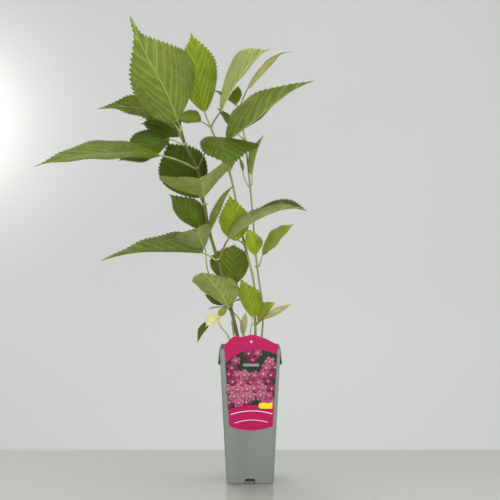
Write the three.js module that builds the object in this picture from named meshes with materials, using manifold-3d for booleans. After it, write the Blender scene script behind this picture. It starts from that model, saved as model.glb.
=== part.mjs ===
// A young hydrangea in a tall square nursery pot: three leafy canes and three slender shoots
// that stand in the potting soil, with their leaves in opposite pairs. Millimetres, +Z up.
// The origin is the middle of the pot's flat underside, and the label is on the -Y side.
import * as THREE from 'three';
import { mergeVertices } from 'three/addons/utils/BufferGeometryUtils.js';
import Module from 'manifold-3d';

const wasm = await Module();
wasm.setup();

// Pot: a square pot that widens evenly from its foot to its rim
const POT_HEIGHT = 200;
const POT_FOOT = 70;
const POT_RIM = 90;
const POT_WALL = 1.6;
const POT_FLOOR = 3;
const CORNER_RADIUS = 5;
const NOTCH = { foot: 18.5, top: 13, height: 7.6, depth: 6 };
const LUG = { length: 62, top: 197, foot: 176.5, reach: 2.6, strap: 1.5, ledge: 2.2 };
const TONGUE = { width: 24, height: 4, proud: 2.6, level: 177, shift: 1.5 };
const GAP = 0.35;

// Potting soil
const SOIL_TOP = 183.5;

// Label: a stiff card that leans back with the pot's front wall
const CARD = { thick: 0.9, shift: 1.5, foot: 32, shoulder: 39.4, low: 86, sag: 6, high: 207 };
const CARD_HOLE = { radius: 1.7, across: 0.3, level: 211.2 };
const CARD_SLOT = { width: 25.4, height: 5.4 };
const CARD_CREST = [
  [18.3, 217],
  [2.3, 221.6],
  [-15.5, 218.3],
  [-18.8, 219.6],
  [-27.2, 218],
  [-34, 211.2],
];

// Canes and shoots: the radius at the foot and the tip, and the line through the nodes
const NODE_SWELL = 0.14;
const NODE_REACH = 4.5;
const CANES = {
  main_cane: {
    foot: 2.7, tip: 2.1, sides: 10,
    line: [
      [-14, 0, 183.9], [-19, 0, 216], [-30, 0, 261], [-43, 0, 308], [-49, 0, 332],
      [-62, -5, 376], [-69, -5, 415], [-80, -8, 469], [-98, -10, 505], [-103, -12, 525],
    ],
    nodes: [2, 4, 5, 6, 7, 8],
  },
  middle_cane: {
    foot: 1.9, tip: 1.6, sides: 8,
    line: [
      [9, 10, 183.9], [8, 10, 233], [6, 10, 296], [-9, 8, 357], [-32, 5, 467], [-58, 5, 528],
    ],
    nodes: [1, 3, 4],
  },
  right_cane: {
    foot: 1.5, tip: 1.1, sides: 8,
    line: [
      [15, 22, 183.9], [20, 22, 247], [11, 18, 321], [0, 14, 444], [-8, 12, 515], [-15, 12, 557],
    ],
    nodes: [2, 3, 4],
  },
  thin_shoot: {
    foot: 1.1, tip: 0.9, sides: 6,
    line: [
      [-5, 16, 183.9], [-14, 15, 236], [-25, 15, 250], [-37, 11, 259], [-64, 8, 314], [-67, -4, 343],
    ],
    nodes: [3],
  },
  low_shoot: {
    foot: 1.4, tip: 1.0, sides: 6,
    line: [[-27, -25, 183.9], [-32, -28, 217], [-43, -32, 232], [-49, -34, 245]],
    nodes: [],
  },
  front_shoot: {
    foot: 1.1, tip: 0.9, sides: 6,
    line: [[-6, -26, 183.9], [-1, -26, 212], [3, -24, 240]],
    nodes: [],
  },
};

// Leaf blades: widest a little below the middle, drawn out to a point
const RISE_POWER = 0.62;
const POINT_POWER = 1.3;
const NECK = 0.1;
const BLADE_STEPS = [0, 0.05, 0.15, 0.3, 0.48, 0.66, 0.82, 0.93, 1];
const STALK_STEPS = 4;
const COLLAR = { height: 3.2, wall: 1.5, sides: 10 };
const BUD = { length: 7, sides: 6 };

// The masses of foliage: where each one sits, and its leaves as
// [stalk], [blade], [one half], [other half], [bend], [point]
// stalk: turn from +X towards +Y, rise from level, length
// blade: turn, rise, length, and roll on its midrib
// half: greatest width, lift above the midrib, and taper (a smaller one is widest near the stalk)
// bend: arch and sideways bow of the midrib, as parts of the length
// point: part of the length that is drawn out, and how far it bends up and sideways
// Angles are in degrees and lengths in millimetres.
const MASSES = {
  crown_leaf: {
    cane: 'main_cane', tip: true,
    leaves: [
      [[260, 24, 26], [234, 44, 175, 52], [43, 13, 1.7], [80, 37, 0.9], [-0.04, -0.05], [0.12, 0.05, -0.12]],
    ],
  },
  upper_left_leaves: {
    cane: 'main_cane', at: 8,
    leaves: [
      [[145, 61, 35], [178, 9, 122, 8], [30, 9, 2.2], [35, 18, 1.8], [0.14, 0], [0.07, 0.04, -0.02]],
      [[168, 22, 25], [169, -22, 88, -70], [29, 8, 2.2], [29, 8, 2.2], [0.04, 0]],
      [[116, 36, 24], [160, 16, 65, -30], [25, 10, 2.2], [25, 10, 2.2], [0.06, 0]],
    ],
  },
  far_left_pair: {
    cane: 'main_cane', at: 7,
    leaves: [
      [[208, 16, 63], [200, -7, 186, -19], [51, 8, 0.75], [50, 4, 1.2], [0.06, 0], [0.05, 0, 0]],
      [[321, 52, 57], [283, -35, 100, -2], [31, -6, 3.2], [59, -5, 0.9], [0.15, 0], [0.04, 0.04, -0.09]],
    ],
  },
  centre_pair: {
    cane: 'main_cane', at: 6,
    leaves: [
      [[269, 53, 13], [272, 13, 101, 14], [65, 25, 1.9], [55, 29, 2.3], [0.03, 0], [0.04, 0, 0.05]],
      [[112, 30, 22], [158, 57, 106, -70], [43, 30, 2.2], [43, 30, 2.2], [0.04, 0]],
    ],
  },
  small_upright_pair: {
    cane: 'main_cane', at: 5,
    leaves: [
      [[153, 7, 12], [155, 47, 79, -31], [27, 6, 1.7], [25, 5, 1.9], [0.08, -0.03], [0.06, -0.06, -0.04]],
      [[288, 9, 13], [314, 61, 78, -11], [12, 49, 1], [23, 57, 2.3], [0.02, -0.07], [0.03, -0.12, -0.06]],
    ],
  },
  broad_pair: {
    cane: 'main_cane', at: 4,
    leaves: [
      [[210, 22, 27], [168, -1, 162, -17], [51, 18, 0.9], [36, 18, 1.2], [0.02, 0], [0.03, -0.06, -0.02]],
      [[315, 54, 37], [325, 17, 154, -37], [15, 49, 2.7], [32, 42, 2.2], [0.15, -0.02], [0.04, -0.09, 0.04]],
    ],
  },
  low_centre_leaves: {
    cane: 'main_cane', at: 2,
    leaves: [
      [[252, 6, 12], [229, 42, 77, 9], [43, 12, 2.7], [39, 3, 2], [0.06, 0], [0.03, 0, 0]],
      [[83, 60, 33], [85, 64, 75, 0], [28, 15, 2.5], [35, 15, 2.5], [0.09, 0], [0.04, -0.06, 0]],
      [[306, 31, 17], [338, 14, 17, 0], [4, 20, 2.2], [4, 20, 2.2], [0, 0]],
    ],
  },
  middle_tip_leaves: {
    cane: 'middle_cane', tip: true,
    leaves: [
      [[145, 64, 32], [120, 75, 132, -14], [31, 17, 3.2], [31, 11, 1.8], [0.04, -0.04], [0.05, 0, -0.04]],
      [[342, 62, 31], [16, 55, 131, -20], [48, 17, 3], [23, 9, 2], [0.04, 0.03], [0.06, -0.04, -0.09]],
      [[151, 36, 25], [162, 14, 48, -35], [20, 8, 2.2]],
    ],
  },
  right_broad_leaf: {
    cane: 'middle_cane', at: 4,
    leaves: [
      [[270, 67, 48], [321, 32, 169, 1], [57, 5, 2.7], [30, 23, 1.8], [0, -0.06], [0.05, -0.11, -0.04]],
    ],
  },
  round_leaf: {
    cane: 'middle_cane', at: 3,
    leaves: [[[153, 12, 14], [118, 73, 74, -13], [29, 5, 2], [29, 3, 1.7]]],
  },
  low_right_pair: {
    cane: 'middle_cane', at: 1,
    leaves: [
      [[335, 49, 12], [345, 45, 40, 30], [19, 10, 2.2]],
      [[341, 33, 14], [353, 28, 53, 15], [9, 10, 2.2], [9, 10, 2.2], [0.03, 0]],
    ],
  },
  right_tip_leaves: {
    cane: 'right_cane', tip: true,
    leaves: [
      [[331, 70, 33], [317, 32, 109, 1], [4, 6, 1.7], [14, 9, 2.2], [0.11, -0.04], [0.09, -0.16, 0.11]],
      [[131, 50, 16], [70, 71, 33, 0], [9, 10, 2.2], [9, 10, 2.2], [0.03, 0]],
      [[115, 32, 30], [135, 30, 52, 0], [17, 10, 2.2]],
    ],
  },
  right_upper_leaf: {
    cane: 'right_cane', at: 4,
    leaves: [[[148, 35, 23], [156, 52, 49, -10], [14, 10, 2.2]]],
  },
  right_narrow_pair: {
    cane: 'right_cane', at: 3,
    leaves: [
      [[304, 74, 17], [332, 71, 64, 0], [12, 35, 2.2]],
      [[200, 61, 24], [213, 73, 25, 0], [5, 20, 2.2], [5, 20, 2.2], [0, 0]],
    ],
  },
  right_lower_pair: {
    cane: 'right_cane', at: 2,
    leaves: [
      [[332, 64, 20], [339, 42, 70, 40], [24, 8, 2.2]],
      [[110, 60, 20], [150, 72, 43, -10], [21, 8, 2.2], [21, 8, 2.2], [0.04, 0]],
    ],
  },
  thin_shoot_leaf: {
    cane: 'thin_shoot', tip: true,
    leaves: [
      [[254, 36, 9], [266, 23, 76, 21], [35, 16, 2.2], [24, 28, 2.5], [0.07, 0.02], [0.07, 0.02, -0.04]],
    ],
  },
  thin_shoot_pair: {
    cane: 'thin_shoot', at: 3,
    leaves: [
      [[160, 29, 6], [175, 30, 33, -35], [12, 10, 2.2], [12, 10, 2.2], [0.04, 0]],
      [[250, -4, 6], [204, -5, 29, 0], [7, 15, 2.2], [7, 15, 2.2], [0.04, 0]],
    ],
  },
  low_shoot_leaves: {
    cane: 'low_shoot', tip: true,
    leaves: [
      [[205, 2, 5], [219, -50, 47, 0], [10, 15, 2.2], [10, 15, 2.2], [0.08, 0]],
      [[290, 0, 7], [212, -36, 28, -35], [11, 15, 2.2]],
      [[0, 45, 4], [19, 45, 18, 40], [7, 15, 2.2], [7, 15, 2.2], [0, 0]],
    ],
  },
  front_leaf: {
    cane: 'front_shoot', tip: true,
    leaves: [[[42, 55, 5], [143, 67, 65, 0], [24, 10, 2.2], [24, 10, 2.2], [0.04, 0]]],
  },
  basal_leaves: {
    foot: [-20, 24, 183.9],
    leaves: [
      [[180, 84, 30], [180, 74, 25, 0], [5, 20, 2.2], [5, 20, 2.2], [0, 0]],
      [[0, 73, 32], [60, 75, 39, 10], [9, 12, 2.2], [9, 12, 2.2], [0.03, 0]],
    ],
  },
};

const COLOURS = {
  pot: 0x7e8780,
  soil: 0x3b2c20,
  card: 0xc42064,
  cane: 0x7f7a4a,
  shoot: 0x93a05a,
  leaf: 0x6e9a3a,
};

const vec = (p) => new THREE.Vector3(...p);

// The unit direction with this turn and rise
function aim(turn, rise) {
  const a = THREE.MathUtils.degToRad(turn);
  const b = THREE.MathUtils.degToRad(rise);
  return new THREE.Vector3(Math.cos(a) * Math.cos(b), Math.sin(a) * Math.cos(b), Math.sin(b));
}

// A closed skin through rings of points that all have the same count
function skin(rings) {
  const count = rings[0].length;
  const positions = rings.flat().flatMap((p) => [p.x, p.y, p.z]);
  const index = [];
  for (let i = 0; i + 1 < rings.length; i += 1) {
    for (let j = 0; j < count; j += 1) {
      const a = i * count + j;
      const b = i * count + ((j + 1) % count);
      index.push(a, b, b + count, a, b + count, a + count);
    }
  }
  const last = (rings.length - 1) * count;
  for (let j = 1; j + 1 < count; j += 1) {
    index.push(0, j + 1, j, last, last + j, last + j + 1);
  }
  const geometry = new THREE.BufferGeometry();
  geometry.setAttribute('position', new THREE.Float32BufferAttribute(positions, 3));
  geometry.setIndex(index);
  return geometry;
}

function toSolid(geometry) {
  const clean = geometry.clone();
  clean.deleteAttribute('normal');
  clean.deleteAttribute('uv');
  const merged = mergeVertices(clean, 1e-4);
  const mesh = new wasm.Mesh({
    numProp: 3,
    vertProperties: new Float32Array(merged.attributes.position.array),
    triVerts: new Uint32Array(merged.index.array),
  });
  return new wasm.Manifold(mesh);
}

function toGeometry(solid) {
  const mesh = solid.getMesh();
  const geometry = new THREE.BufferGeometry();
  geometry.setAttribute('position', new THREE.Float32BufferAttribute(mesh.vertProperties, 3));
  geometry.setIndex(new THREE.BufferAttribute(mesh.triVerts, 1));
  return geometry;
}

// A square ring of points with rounded corners, at one level
function squareRing(half, radius, level) {
  const points = [];
  for (let corner = 0; corner < 4; corner += 1) {
    const middle = ((corner * 2 + 1) * Math.PI) / 4;
    const cx = Math.sign(Math.cos(middle)) * (half - radius);
    const cy = Math.sign(Math.sin(middle)) * (half - radius);
    for (let k = -2; k <= 2; k += 1) {
      const a = middle + (k * Math.PI) / 8;
      const p = new THREE.Vector3(cx + radius * Math.cos(a), cy + radius * Math.sin(a), level);
      points.push(p);
    }
  }
  return points;
}

function wallHalf(level) {
  return POT_FOOT / 2 + ((POT_RIM - POT_FOOT) / 2) * (level / POT_HEIGHT);
}

function box(width, depth, height, x, y, z) {
  const geometry = new THREE.BoxGeometry(width, depth, height);
  geometry.translate(x, y, z);
  return geometry;
}

// One side lug: a strap that slants out from the rim to a small ledge, open at both ends
function lugSolid(side) {
  const top = wallHalf(LUG.top);
  const low = wallHalf(LUG.foot);
  const shape = new THREE.Shape();
  shape.moveTo(low - 0.6, LUG.foot - LUG.ledge);
  shape.lineTo(low + LUG.reach + LUG.strap, LUG.foot);
  shape.lineTo(top + 0.9, LUG.top + 2);
  shape.lineTo(top - 0.6, LUG.top);
  shape.lineTo(top - 0.4, LUG.top - 1.5);
  shape.lineTo(low + LUG.reach, LUG.foot + 1.4);
  shape.lineTo(low - 0.6, LUG.foot);
  const plate = new THREE.ExtrudeGeometry(shape, { depth: LUG.length, bevelEnabled: false });
  plate.translate(0, 0, -LUG.length / 2);
  plate.rotateX(Math.PI / 2);
  if (side < 0) {
    plate.rotateZ(Math.PI);
  }
  return toSolid(plate);
}

function potGeometry() {
  const foot = wallHalf(0);
  const outer = skin([
    squareRing(foot - 0.8, CORNER_RADIUS, 0),
    squareRing(wallHalf(0.8), CORNER_RADIUS, 0.8),
    squareRing(wallHalf(POT_HEIGHT), CORNER_RADIUS, POT_HEIGHT),
  ]);
  const inner = skin([
    squareRing(wallHalf(POT_FLOOR) - POT_WALL, CORNER_RADIUS - POT_WALL, POT_FLOOR),
    squareRing(wallHalf(POT_HEIGHT + 5) - POT_WALL, CORNER_RADIUS - POT_WALL, POT_HEIGHT + 5),
  ]);
  const tongueY = -wallHalf(TONGUE.level) - TONGUE.proud / 2 + 0.5;
  const tongue = box(
    TONGUE.width, TONGUE.proud + 1, TONGUE.height, TONGUE.shift, tongueY, TONGUE.level,
  );
  let solid = toSolid(outer).add(lugSolid(1)).add(lugSolid(-1)).add(toSolid(tongue));
  solid = solid.subtract(toSolid(inner));
  // A drainage notch in the middle of each foot edge
  const cut = new THREE.Shape();
  cut.moveTo(-NOTCH.foot / 2, -1);
  cut.lineTo(NOTCH.foot / 2, -1);
  cut.lineTo(NOTCH.top / 2, NOTCH.height);
  cut.lineTo(-NOTCH.top / 2, NOTCH.height);
  for (let k = 0; k < 4; k += 1) {
    const notch = new THREE.ExtrudeGeometry(cut, { depth: NOTCH.depth, bevelEnabled: false });
    notch.rotateX(Math.PI / 2);
    notch.translate(0, -foot + NOTCH.depth - 2, 0);
    notch.rotateZ((k * Math.PI) / 2);
    solid = solid.subtract(toSolid(notch));
  }
  return toGeometry(solid);
}

// The soil fills the pot, with a low plinth inside each drainage notch left free
function soilGeometry() {
  const low = POT_FLOOR + GAP;
  const inset = POT_WALL + GAP;
  const block = toSolid(skin([
    squareRing(wallHalf(low) - inset - 0.05, CORNER_RADIUS - inset + 0.6, low),
    squareRing(wallHalf(SOIL_TOP) - inset - 0.05, CORNER_RADIUS - inset + 0.6, SOIL_TOP),
  ]));
  let solid = block;
  for (let k = 0; k < 4; k += 1) {
    const niche = box(
      NOTCH.foot + 3, NOTCH.depth + 1, 2 * NOTCH.height + 2,
      0, -wallHalf(0) + NOTCH.depth / 2 - 0.8, NOTCH.height / 2,
    );
    niche.rotateZ((k * Math.PI) / 2);
    solid = solid.subtract(toSolid(niche));
  }
  return toGeometry(solid);
}

// The card's outline, with its hole and the slot for the pot's tongue
function labelGeometry() {
  const shape = new THREE.Shape();
  shape.moveTo(-CARD.foot, CARD.low);
  shape.quadraticCurveTo(0, CARD.low - 2 * CARD.sag, CARD.foot, CARD.low);
  shape.lineTo(CARD.shoulder, CARD.high);
  for (const [across, level] of CARD_CREST) {
    shape.lineTo(across, level);
  }
  shape.lineTo(-CARD.shoulder, CARD.high);
  shape.closePath();
  const hole = new THREE.Path();
  hole.absarc(CARD_HOLE.across, CARD_HOLE.level, CARD_HOLE.radius, 0, 2 * Math.PI, true);
  const slot = new THREE.Path();
  const w = CARD_SLOT.width / 2;
  const h = CARD_SLOT.height / 2;
  slot.moveTo(-w, TONGUE.level - h);
  slot.lineTo(-w, TONGUE.level + h);
  slot.lineTo(w, TONGUE.level + h);
  slot.lineTo(w, TONGUE.level - h);
  slot.closePath();
  shape.holes.push(hole, slot);
  const card = new THREE.ExtrudeGeometry(shape, {
    depth: CARD.thick, bevelEnabled: false, curveSegments: 6,
  });
  card.rotateX(Math.PI / 2);
  card.translate(CARD.shift, 0, 0);
  // Lean the card back with the wall, by moving each level out by the wall's own offset
  const place = card.attributes.position;
  for (let i = 0; i < place.count; i += 1) {
    place.setY(i, place.getY(i) - wallHalf(place.getZ(i)) - GAP);
  }
  return toGeometry(toSolid(card));
}

// The radius of a cane at a fraction of its length, with a slight flare at the foot
function caneRadius(cane, fraction) {
  const flare = 0.25 * Math.max(0, 1 - fraction / 0.04);
  return cane.foot + (cane.tip - cane.foot) * fraction + flare * cane.foot;
}

function caneCurve(cane) {
  return new THREE.CatmullRomCurve3(cane.line.map(vec), false, 'centripetal');
}

// The place, direction and radius of a cane at one of the points of its line
function caneAt(cane, index) {
  const curve = caneCurve(cane);
  const t = index / (cane.line.length - 1);
  const radius = caneRadius(cane, t) * (1 + NODE_SWELL);
  return { place: curve.getPoint(t), along: curve.getTangent(t), radius };
}

// A ring of points round a place, square to a direction
function ringAt(place, along, radius, sides, side) {
  const u = side.clone().addScaledVector(along, -side.dot(along)).normalize();
  const v = new THREE.Vector3().crossVectors(along, u);
  const points = [];
  for (let j = 0; j < sides; j += 1) {
    const a = (2 * Math.PI * j) / sides;
    const p = place.clone();
    p.addScaledVector(u, radius * Math.cos(a)).addScaledVector(v, radius * Math.sin(a));
    points.push(p);
  }
  return points;
}

function caneGeometry(cane) {
  const curve = caneCurve(cane);
  const spans = cane.line.length - 1;
  const places = [];
  for (let i = 0; i < spans; i += 1) {
    const length = vec(cane.line[i]).distanceTo(vec(cane.line[i + 1]));
    const steps = Math.max(2, Math.round(length / 16));
    for (let k = 0; k < steps; k += 1) {
      places.push((i + k / steps) / spans);
    }
    const swell = NODE_REACH / length / spans;
    if (cane.nodes.includes(i)) {
      places.push(i / spans - swell, i / spans + swell);
    }
  }
  places.push(1);
  places.sort((a, b) => a - b);
  const sorted = places.filter((t, i) => i === 0 || t - places[i - 1] > 0.004);
  const nodeSpots = cane.nodes.map((i) => i / spans);
  const rings = sorted.map((t) => {
    const isNode = nodeSpots.some((n) => Math.abs(n - t) < 0.0005);
    const along = t === 0 ? new THREE.Vector3(0, 0, 1) : curve.getTangent(t);
    const radius = caneRadius(cane, t) * (isNode ? 1 + NODE_SWELL : 1);
    return ringAt(curve.getPoint(t), along, radius, cane.sides, new THREE.Vector3(0, -1, 0));
  });
  return skin(rings);
}

// Half a blade's width at a fraction of its length, as a part of its greatest: an ovate body
// that runs out into a narrow neck at the point
function halfWidth(t, taper, drawn) {
  const peak = RISE_POWER / (RISE_POWER + POINT_POWER * taper);
  const shape = (s) => s ** RISE_POWER * (1 - s ** taper) ** POINT_POWER;
  const body = shape(Math.min(1, t / (1 - drawn))) / shape(peak ** (1 / taper));
  const neck = NECK * Math.min(1, t * 8) * Math.min(1, (1 - t) / (drawn + 0.06));
  return Math.cbrt(body ** 3 + neck ** 3);
}

// One leaf: a stalk that bends into the blade, and a folded blade with a solid thickness
function leafSolids(row, start, centre) {
  const [stalk, blade, one, other = one, bend = [0.05, 0], point = [0.06, 0, 0]] = row;
  const [stalkTurn, stalkRise, stalkLength] = stalk;
  const [bladeTurn, bladeRise, length, roll] = blade;
  const [arch, bow] = bend;
  const [drawn, hook, veer] = point;
  const base = centre.clone().addScaledVector(aim(stalkTurn, stalkRise), stalkLength);
  const axis = aim(bladeTurn, bladeRise);
  const level = new THREE.Vector3(0, 0, 1).addScaledVector(axis, -axis.z).normalize();
  const normal = level.clone().applyAxisAngle(axis, THREE.MathUtils.degToRad(roll));
  const side = new THREE.Vector3().crossVectors(axis, normal);
  const thick = Math.max(1.1, length * 0.0105);
  const rings = BLADE_STEPS.map((t) => {
    const hump = 4 * length * t * (1 - t);
    const late = length * Math.max(0, 2 * t - 1) ** 2;
    const mid = base.clone().addScaledVector(axis, length * t);
    mid.addScaledVector(normal, arch * hump + hook * late);
    mid.addScaledVector(side, bow * hump + veer * late);
    const margin = (sign, [width, lift, taper], up) => {
      const half = Math.max(t < 0.5 ? 1 : 0.35, (halfWidth(t, taper, drawn) || 0) * width);
      const angle = THREE.MathUtils.degToRad(lift);
      const p = mid.clone().addScaledVector(side, sign * half * Math.cos(angle));
      return p.addScaledVector(normal, half * Math.sin(angle) + up);
    };
    const core = thick / 2;
    const edge = thick * 0.3;
    return [
      margin(1, one, -edge),
      mid.clone().addScaledVector(normal, -core),
      margin(-1, other, -edge),
      margin(-1, other, edge),
      mid.clone().addScaledVector(normal, core),
      margin(1, one, edge),
    ];
  });
  const bladeSkin = skin(rings);
  const into = axis.clone().addScaledVector(normal, 4 * arch).addScaledVector(side, 4 * bow);
  const inner = base.clone().addScaledVector(into, Math.min(3, length * 0.06));
  const out = start.direction.clone().multiplyScalar(stalkLength * 0.9);
  const span = inner.clone().sub(start.place).length();
  const radius = Math.min(1.5, 0.7 + length * 0.0045);
  const stalkRings = [];
  for (let i = 0; i <= STALK_STEPS; i += 1) {
    const t = i / STALK_STEPS;
    const t2 = t * t;
    const t3 = t2 * t;
    const p = new THREE.Vector3();
    p.addScaledVector(start.place, 2 * t3 - 3 * t2 + 1);
    p.addScaledVector(out, t3 - 2 * t2 + t);
    p.addScaledVector(inner, 3 * t2 - 2 * t3);
    p.addScaledVector(into, (t3 - t2) * span * 0.7);
    const along = new THREE.Vector3();
    along.addScaledVector(start.place, 6 * t2 - 6 * t);
    along.addScaledVector(out, 3 * t2 - 4 * t + 1);
    along.addScaledVector(inner, 6 * t - 6 * t2);
    along.addScaledVector(into, (3 * t2 - 2 * t) * span * 0.7);
    stalkRings.push(ringAt(p, along.normalize(), radius * (1.1 - 0.25 * t), 5, side));
  }
  return [bladeSkin, skin(stalkRings)];
}

// Where a leaf's stalk starts: on the collar round a cane, or on the bud at its tip
function collarStart(node, row, wallMiddle) {
  const toward = aim(...row[0]);
  const across = toward.clone().addScaledVector(node.along, -toward.dot(node.along)).normalize();
  const direction = across.clone().multiplyScalar(0.8).add(toward).normalize();
  return { place: node.place.clone().addScaledVector(across, wallMiddle), direction };
}

function massGeometry(mass) {
  const pieces = [];
  if (mass.at !== undefined) {
    const node = caneAt(CANES[mass.cane], mass.at);
    const bore = (node.radius + GAP) / Math.cos(Math.PI / COLLAR.sides);
    const ends = [-COLLAR.height / 2, COLLAR.height / 2];
    const side = new THREE.Vector3(0, -1, 0);
    const rings = (radius, extra) => ends.map((offset) => {
      const p = node.place.clone().addScaledVector(node.along, offset * extra);
      return ringAt(p, node.along, radius, COLLAR.sides, side);
    });
    const outer = toSolid(skin(rings(bore + COLLAR.wall, 1)));
    pieces.push(outer);
    const hole = toSolid(skin(rings(bore, 1.5)));
    for (const row of mass.leaves) {
      const start = collarStart(node, row, bore + COLLAR.wall * 0.55);
      pieces.push(...leafSolids(row, start, node.place).map(toSolid));
    }
    return toGeometry(wasm.Manifold.union(pieces).subtract(hole));
  }
  const node = mass.foot
    ? { place: vec(mass.foot), along: new THREE.Vector3(0, 0, 1), radius: 1.6 }
    : caneAt(CANES[mass.cane], CANES[mass.cane].line.length - 1);
  const foot = node.place.clone().addScaledVector(node.along, mass.foot ? 0 : GAP);
  const budRings = [0, 0.35, 0.75, 1].map((t) => {
    const radius = node.radius * (1 - 0.75 * t ** 1.6);
    const p = foot.clone().addScaledVector(node.along, BUD.length * t);
    return ringAt(p, node.along, radius, BUD.sides, new THREE.Vector3(0, -1, 0));
  });
  pieces.push(toSolid(skin(budRings)));
  for (const row of mass.leaves) {
    const seat = foot.clone().addScaledVector(node.along, BUD.length * 0.3);
    const start = { place: seat, direction: aim(...row[0]).add(node.along).normalize() };
    pieces.push(...leafSolids(row, start, node.place).map(toSolid));
  }
  return toGeometry(wasm.Manifold.union(pieces));
}

function namedMesh(name, geometry, color, roughness) {
  const material = new THREE.MeshStandardMaterial({ color, roughness, metalness: 0 });
  material.side = THREE.FrontSide;
  const mesh = new THREE.Mesh(geometry, material);
  mesh.name = name;
  return mesh;
}

const plant = new THREE.Group();
plant.add(namedMesh('pot', potGeometry(), COLOURS.pot, 0.45));
plant.add(namedMesh('potting_soil', soilGeometry(), COLOURS.soil, 0.95));
plant.add(namedMesh('plant_label', labelGeometry(), COLOURS.card, 0.35));
for (const [name, cane] of Object.entries(CANES)) {
  const color = name.endsWith('cane') ? COLOURS.cane : COLOURS.shoot;
  plant.add(namedMesh(name, caneGeometry(cane), color, 0.7));
}
for (const [name, mass] of Object.entries(MASSES)) {
  plant.add(namedMesh(name, massGeometry(mass), COLOURS.leaf, 0.55));
}

export default plant;
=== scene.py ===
# %% [markdown]
# # A young hydrangea in a tall square nursery pot
#
# The plant has three woody canes and three thin green shoots. Its leaves stand in opposite pairs,
# the canes stand in compost, and the pot carries a stiff card label on its front wall. The lesson
# dresses a plain solid model with fine meshes in the same frame: metres, +Z up, the origin in the
# middle of the pot's flat underside, and the label towards -Y.

# %% Load the frame
import math
import random
from functools import partial

import bmesh
import bpy
import numpy as np
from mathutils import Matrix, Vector


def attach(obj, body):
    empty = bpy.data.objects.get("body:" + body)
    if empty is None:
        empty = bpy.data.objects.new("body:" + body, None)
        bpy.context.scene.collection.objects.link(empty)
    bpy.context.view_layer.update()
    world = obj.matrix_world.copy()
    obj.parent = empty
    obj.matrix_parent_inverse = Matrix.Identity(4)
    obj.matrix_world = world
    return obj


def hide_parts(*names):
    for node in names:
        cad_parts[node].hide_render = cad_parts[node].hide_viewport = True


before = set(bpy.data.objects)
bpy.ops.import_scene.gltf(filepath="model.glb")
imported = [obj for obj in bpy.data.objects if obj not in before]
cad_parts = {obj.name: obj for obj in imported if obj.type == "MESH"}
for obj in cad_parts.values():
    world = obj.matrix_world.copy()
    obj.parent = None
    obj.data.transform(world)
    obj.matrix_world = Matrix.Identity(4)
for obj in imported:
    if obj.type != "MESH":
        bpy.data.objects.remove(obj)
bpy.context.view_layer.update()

print("nodes in the frame:", len(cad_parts))

# %% [markdown]
# ## Small tools for meshes
#
# Every piece below is a mesh made from arrays of points and faces. Sizes are thought of in
# millimetres, as a gardener or a pot maker would give them, so one helper turns millimetres into
# metres, shades the faces and hands the piece to the frame in a single place.

# %% Mesh helpers
MM = 0.001


def vec(p):
    return np.array(p, dtype=float)


def unit(v):
    v = np.asarray(v, dtype=float)
    return v / np.linalg.norm(v)


def aim(turn, rise):
    """The unit direction with this turn from +X and this rise from level, in degrees."""
    a, b = math.radians(turn), math.radians(rise)
    return np.array([math.cos(a) * math.cos(b), math.sin(a) * math.cos(b), math.sin(b)])


def link_new(name, data):
    """A new object at the origin that carries this data."""
    obj = bpy.data.objects.new(name, data)
    bpy.context.scene.collection.objects.link(obj)
    return obj


def plain_mesh(obj, name):
    """What the object's modifiers or curve come to, as a plain mesh."""
    bpy.context.view_layer.update()
    graph = bpy.context.evaluated_depsgraph_get()
    mesh = bpy.data.meshes.new_from_object(obj.evaluated_get(graph))
    mesh.name = name
    return mesh


def edit_mesh(obj, change):
    """Opens an object's mesh for a change, and closes it again."""
    work = bmesh.new()
    work.from_mesh(obj.data)
    change(work)
    work.to_mesh(obj.data)
    work.free()


def face_outward(work):
    bmesh.ops.recalc_face_normals(work, faces=work.faces)


def make_mesh(name, points, faces, materials, face_slots=None, uv=None):
    """An object at the origin from points in millimetres."""
    mesh = bpy.data.meshes.new(name)
    mesh.from_pydata([tuple(p) for p in np.asarray(points) * MM], [], faces)
    for material in materials:
        mesh.materials.append(material)
    if face_slots is not None:
        mesh.polygons.foreach_set("material_index", face_slots)
    mesh.polygons.foreach_set("use_smooth", [True] * len(mesh.polygons))
    if uv is not None:
        layer = mesh.uv_layers.new(name="LeafUV")
        index = np.zeros(len(mesh.loops), dtype=int)
        mesh.loops.foreach_get("vertex_index", index)
        layer.data.foreach_set("uv", np.asarray(uv)[index].ravel())
    mesh.update()
    return link_new(name, mesh)


def hand_over(obj, slot, *nodes):
    """The piece rides on the plant's only body and stands for these nodes."""
    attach(obj, "root")
    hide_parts(*nodes)
    print(f"{obj.name}: {len(obj.data.polygons)} faces for {', '.join(nodes)}")


class Gathered:
    """Collects points, faces, slots and UVs of several shapes into one mesh."""

    def __init__(self):
        self.points, self.faces, self.slots, self.uv = [], [], [], []

    def add(self, points, faces, slots, uv=None):
        start = len(self.points)
        self.points.extend(points)
        self.faces.extend([tuple(start + k for k in face) for face in faces])
        self.slots.extend(slots if hasattr(slots, "__len__") else [slots] * len(faces))
        self.uv.extend(uv if uv is not None else [(0.0, 0.0)] * len(points))

    def build(self, name, materials, with_uv=False):
        uv = self.uv if with_uv else None
        return make_mesh(name, self.points, self.faces, materials, self.slots, uv)


def skin(rings):
    """Faces through rings of points that all have the same count, with both ends capped."""
    count = len(rings[0])
    faces = []
    for i in range(len(rings) - 1):
        for j in range(count):
            a, b = i * count + j, i * count + (j + 1) % count
            faces.append((a, b, b + count, a + count))
    last = (len(rings) - 1) * count
    return faces + [tuple(reversed(range(count))), tuple(range(last, last + count))]


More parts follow.
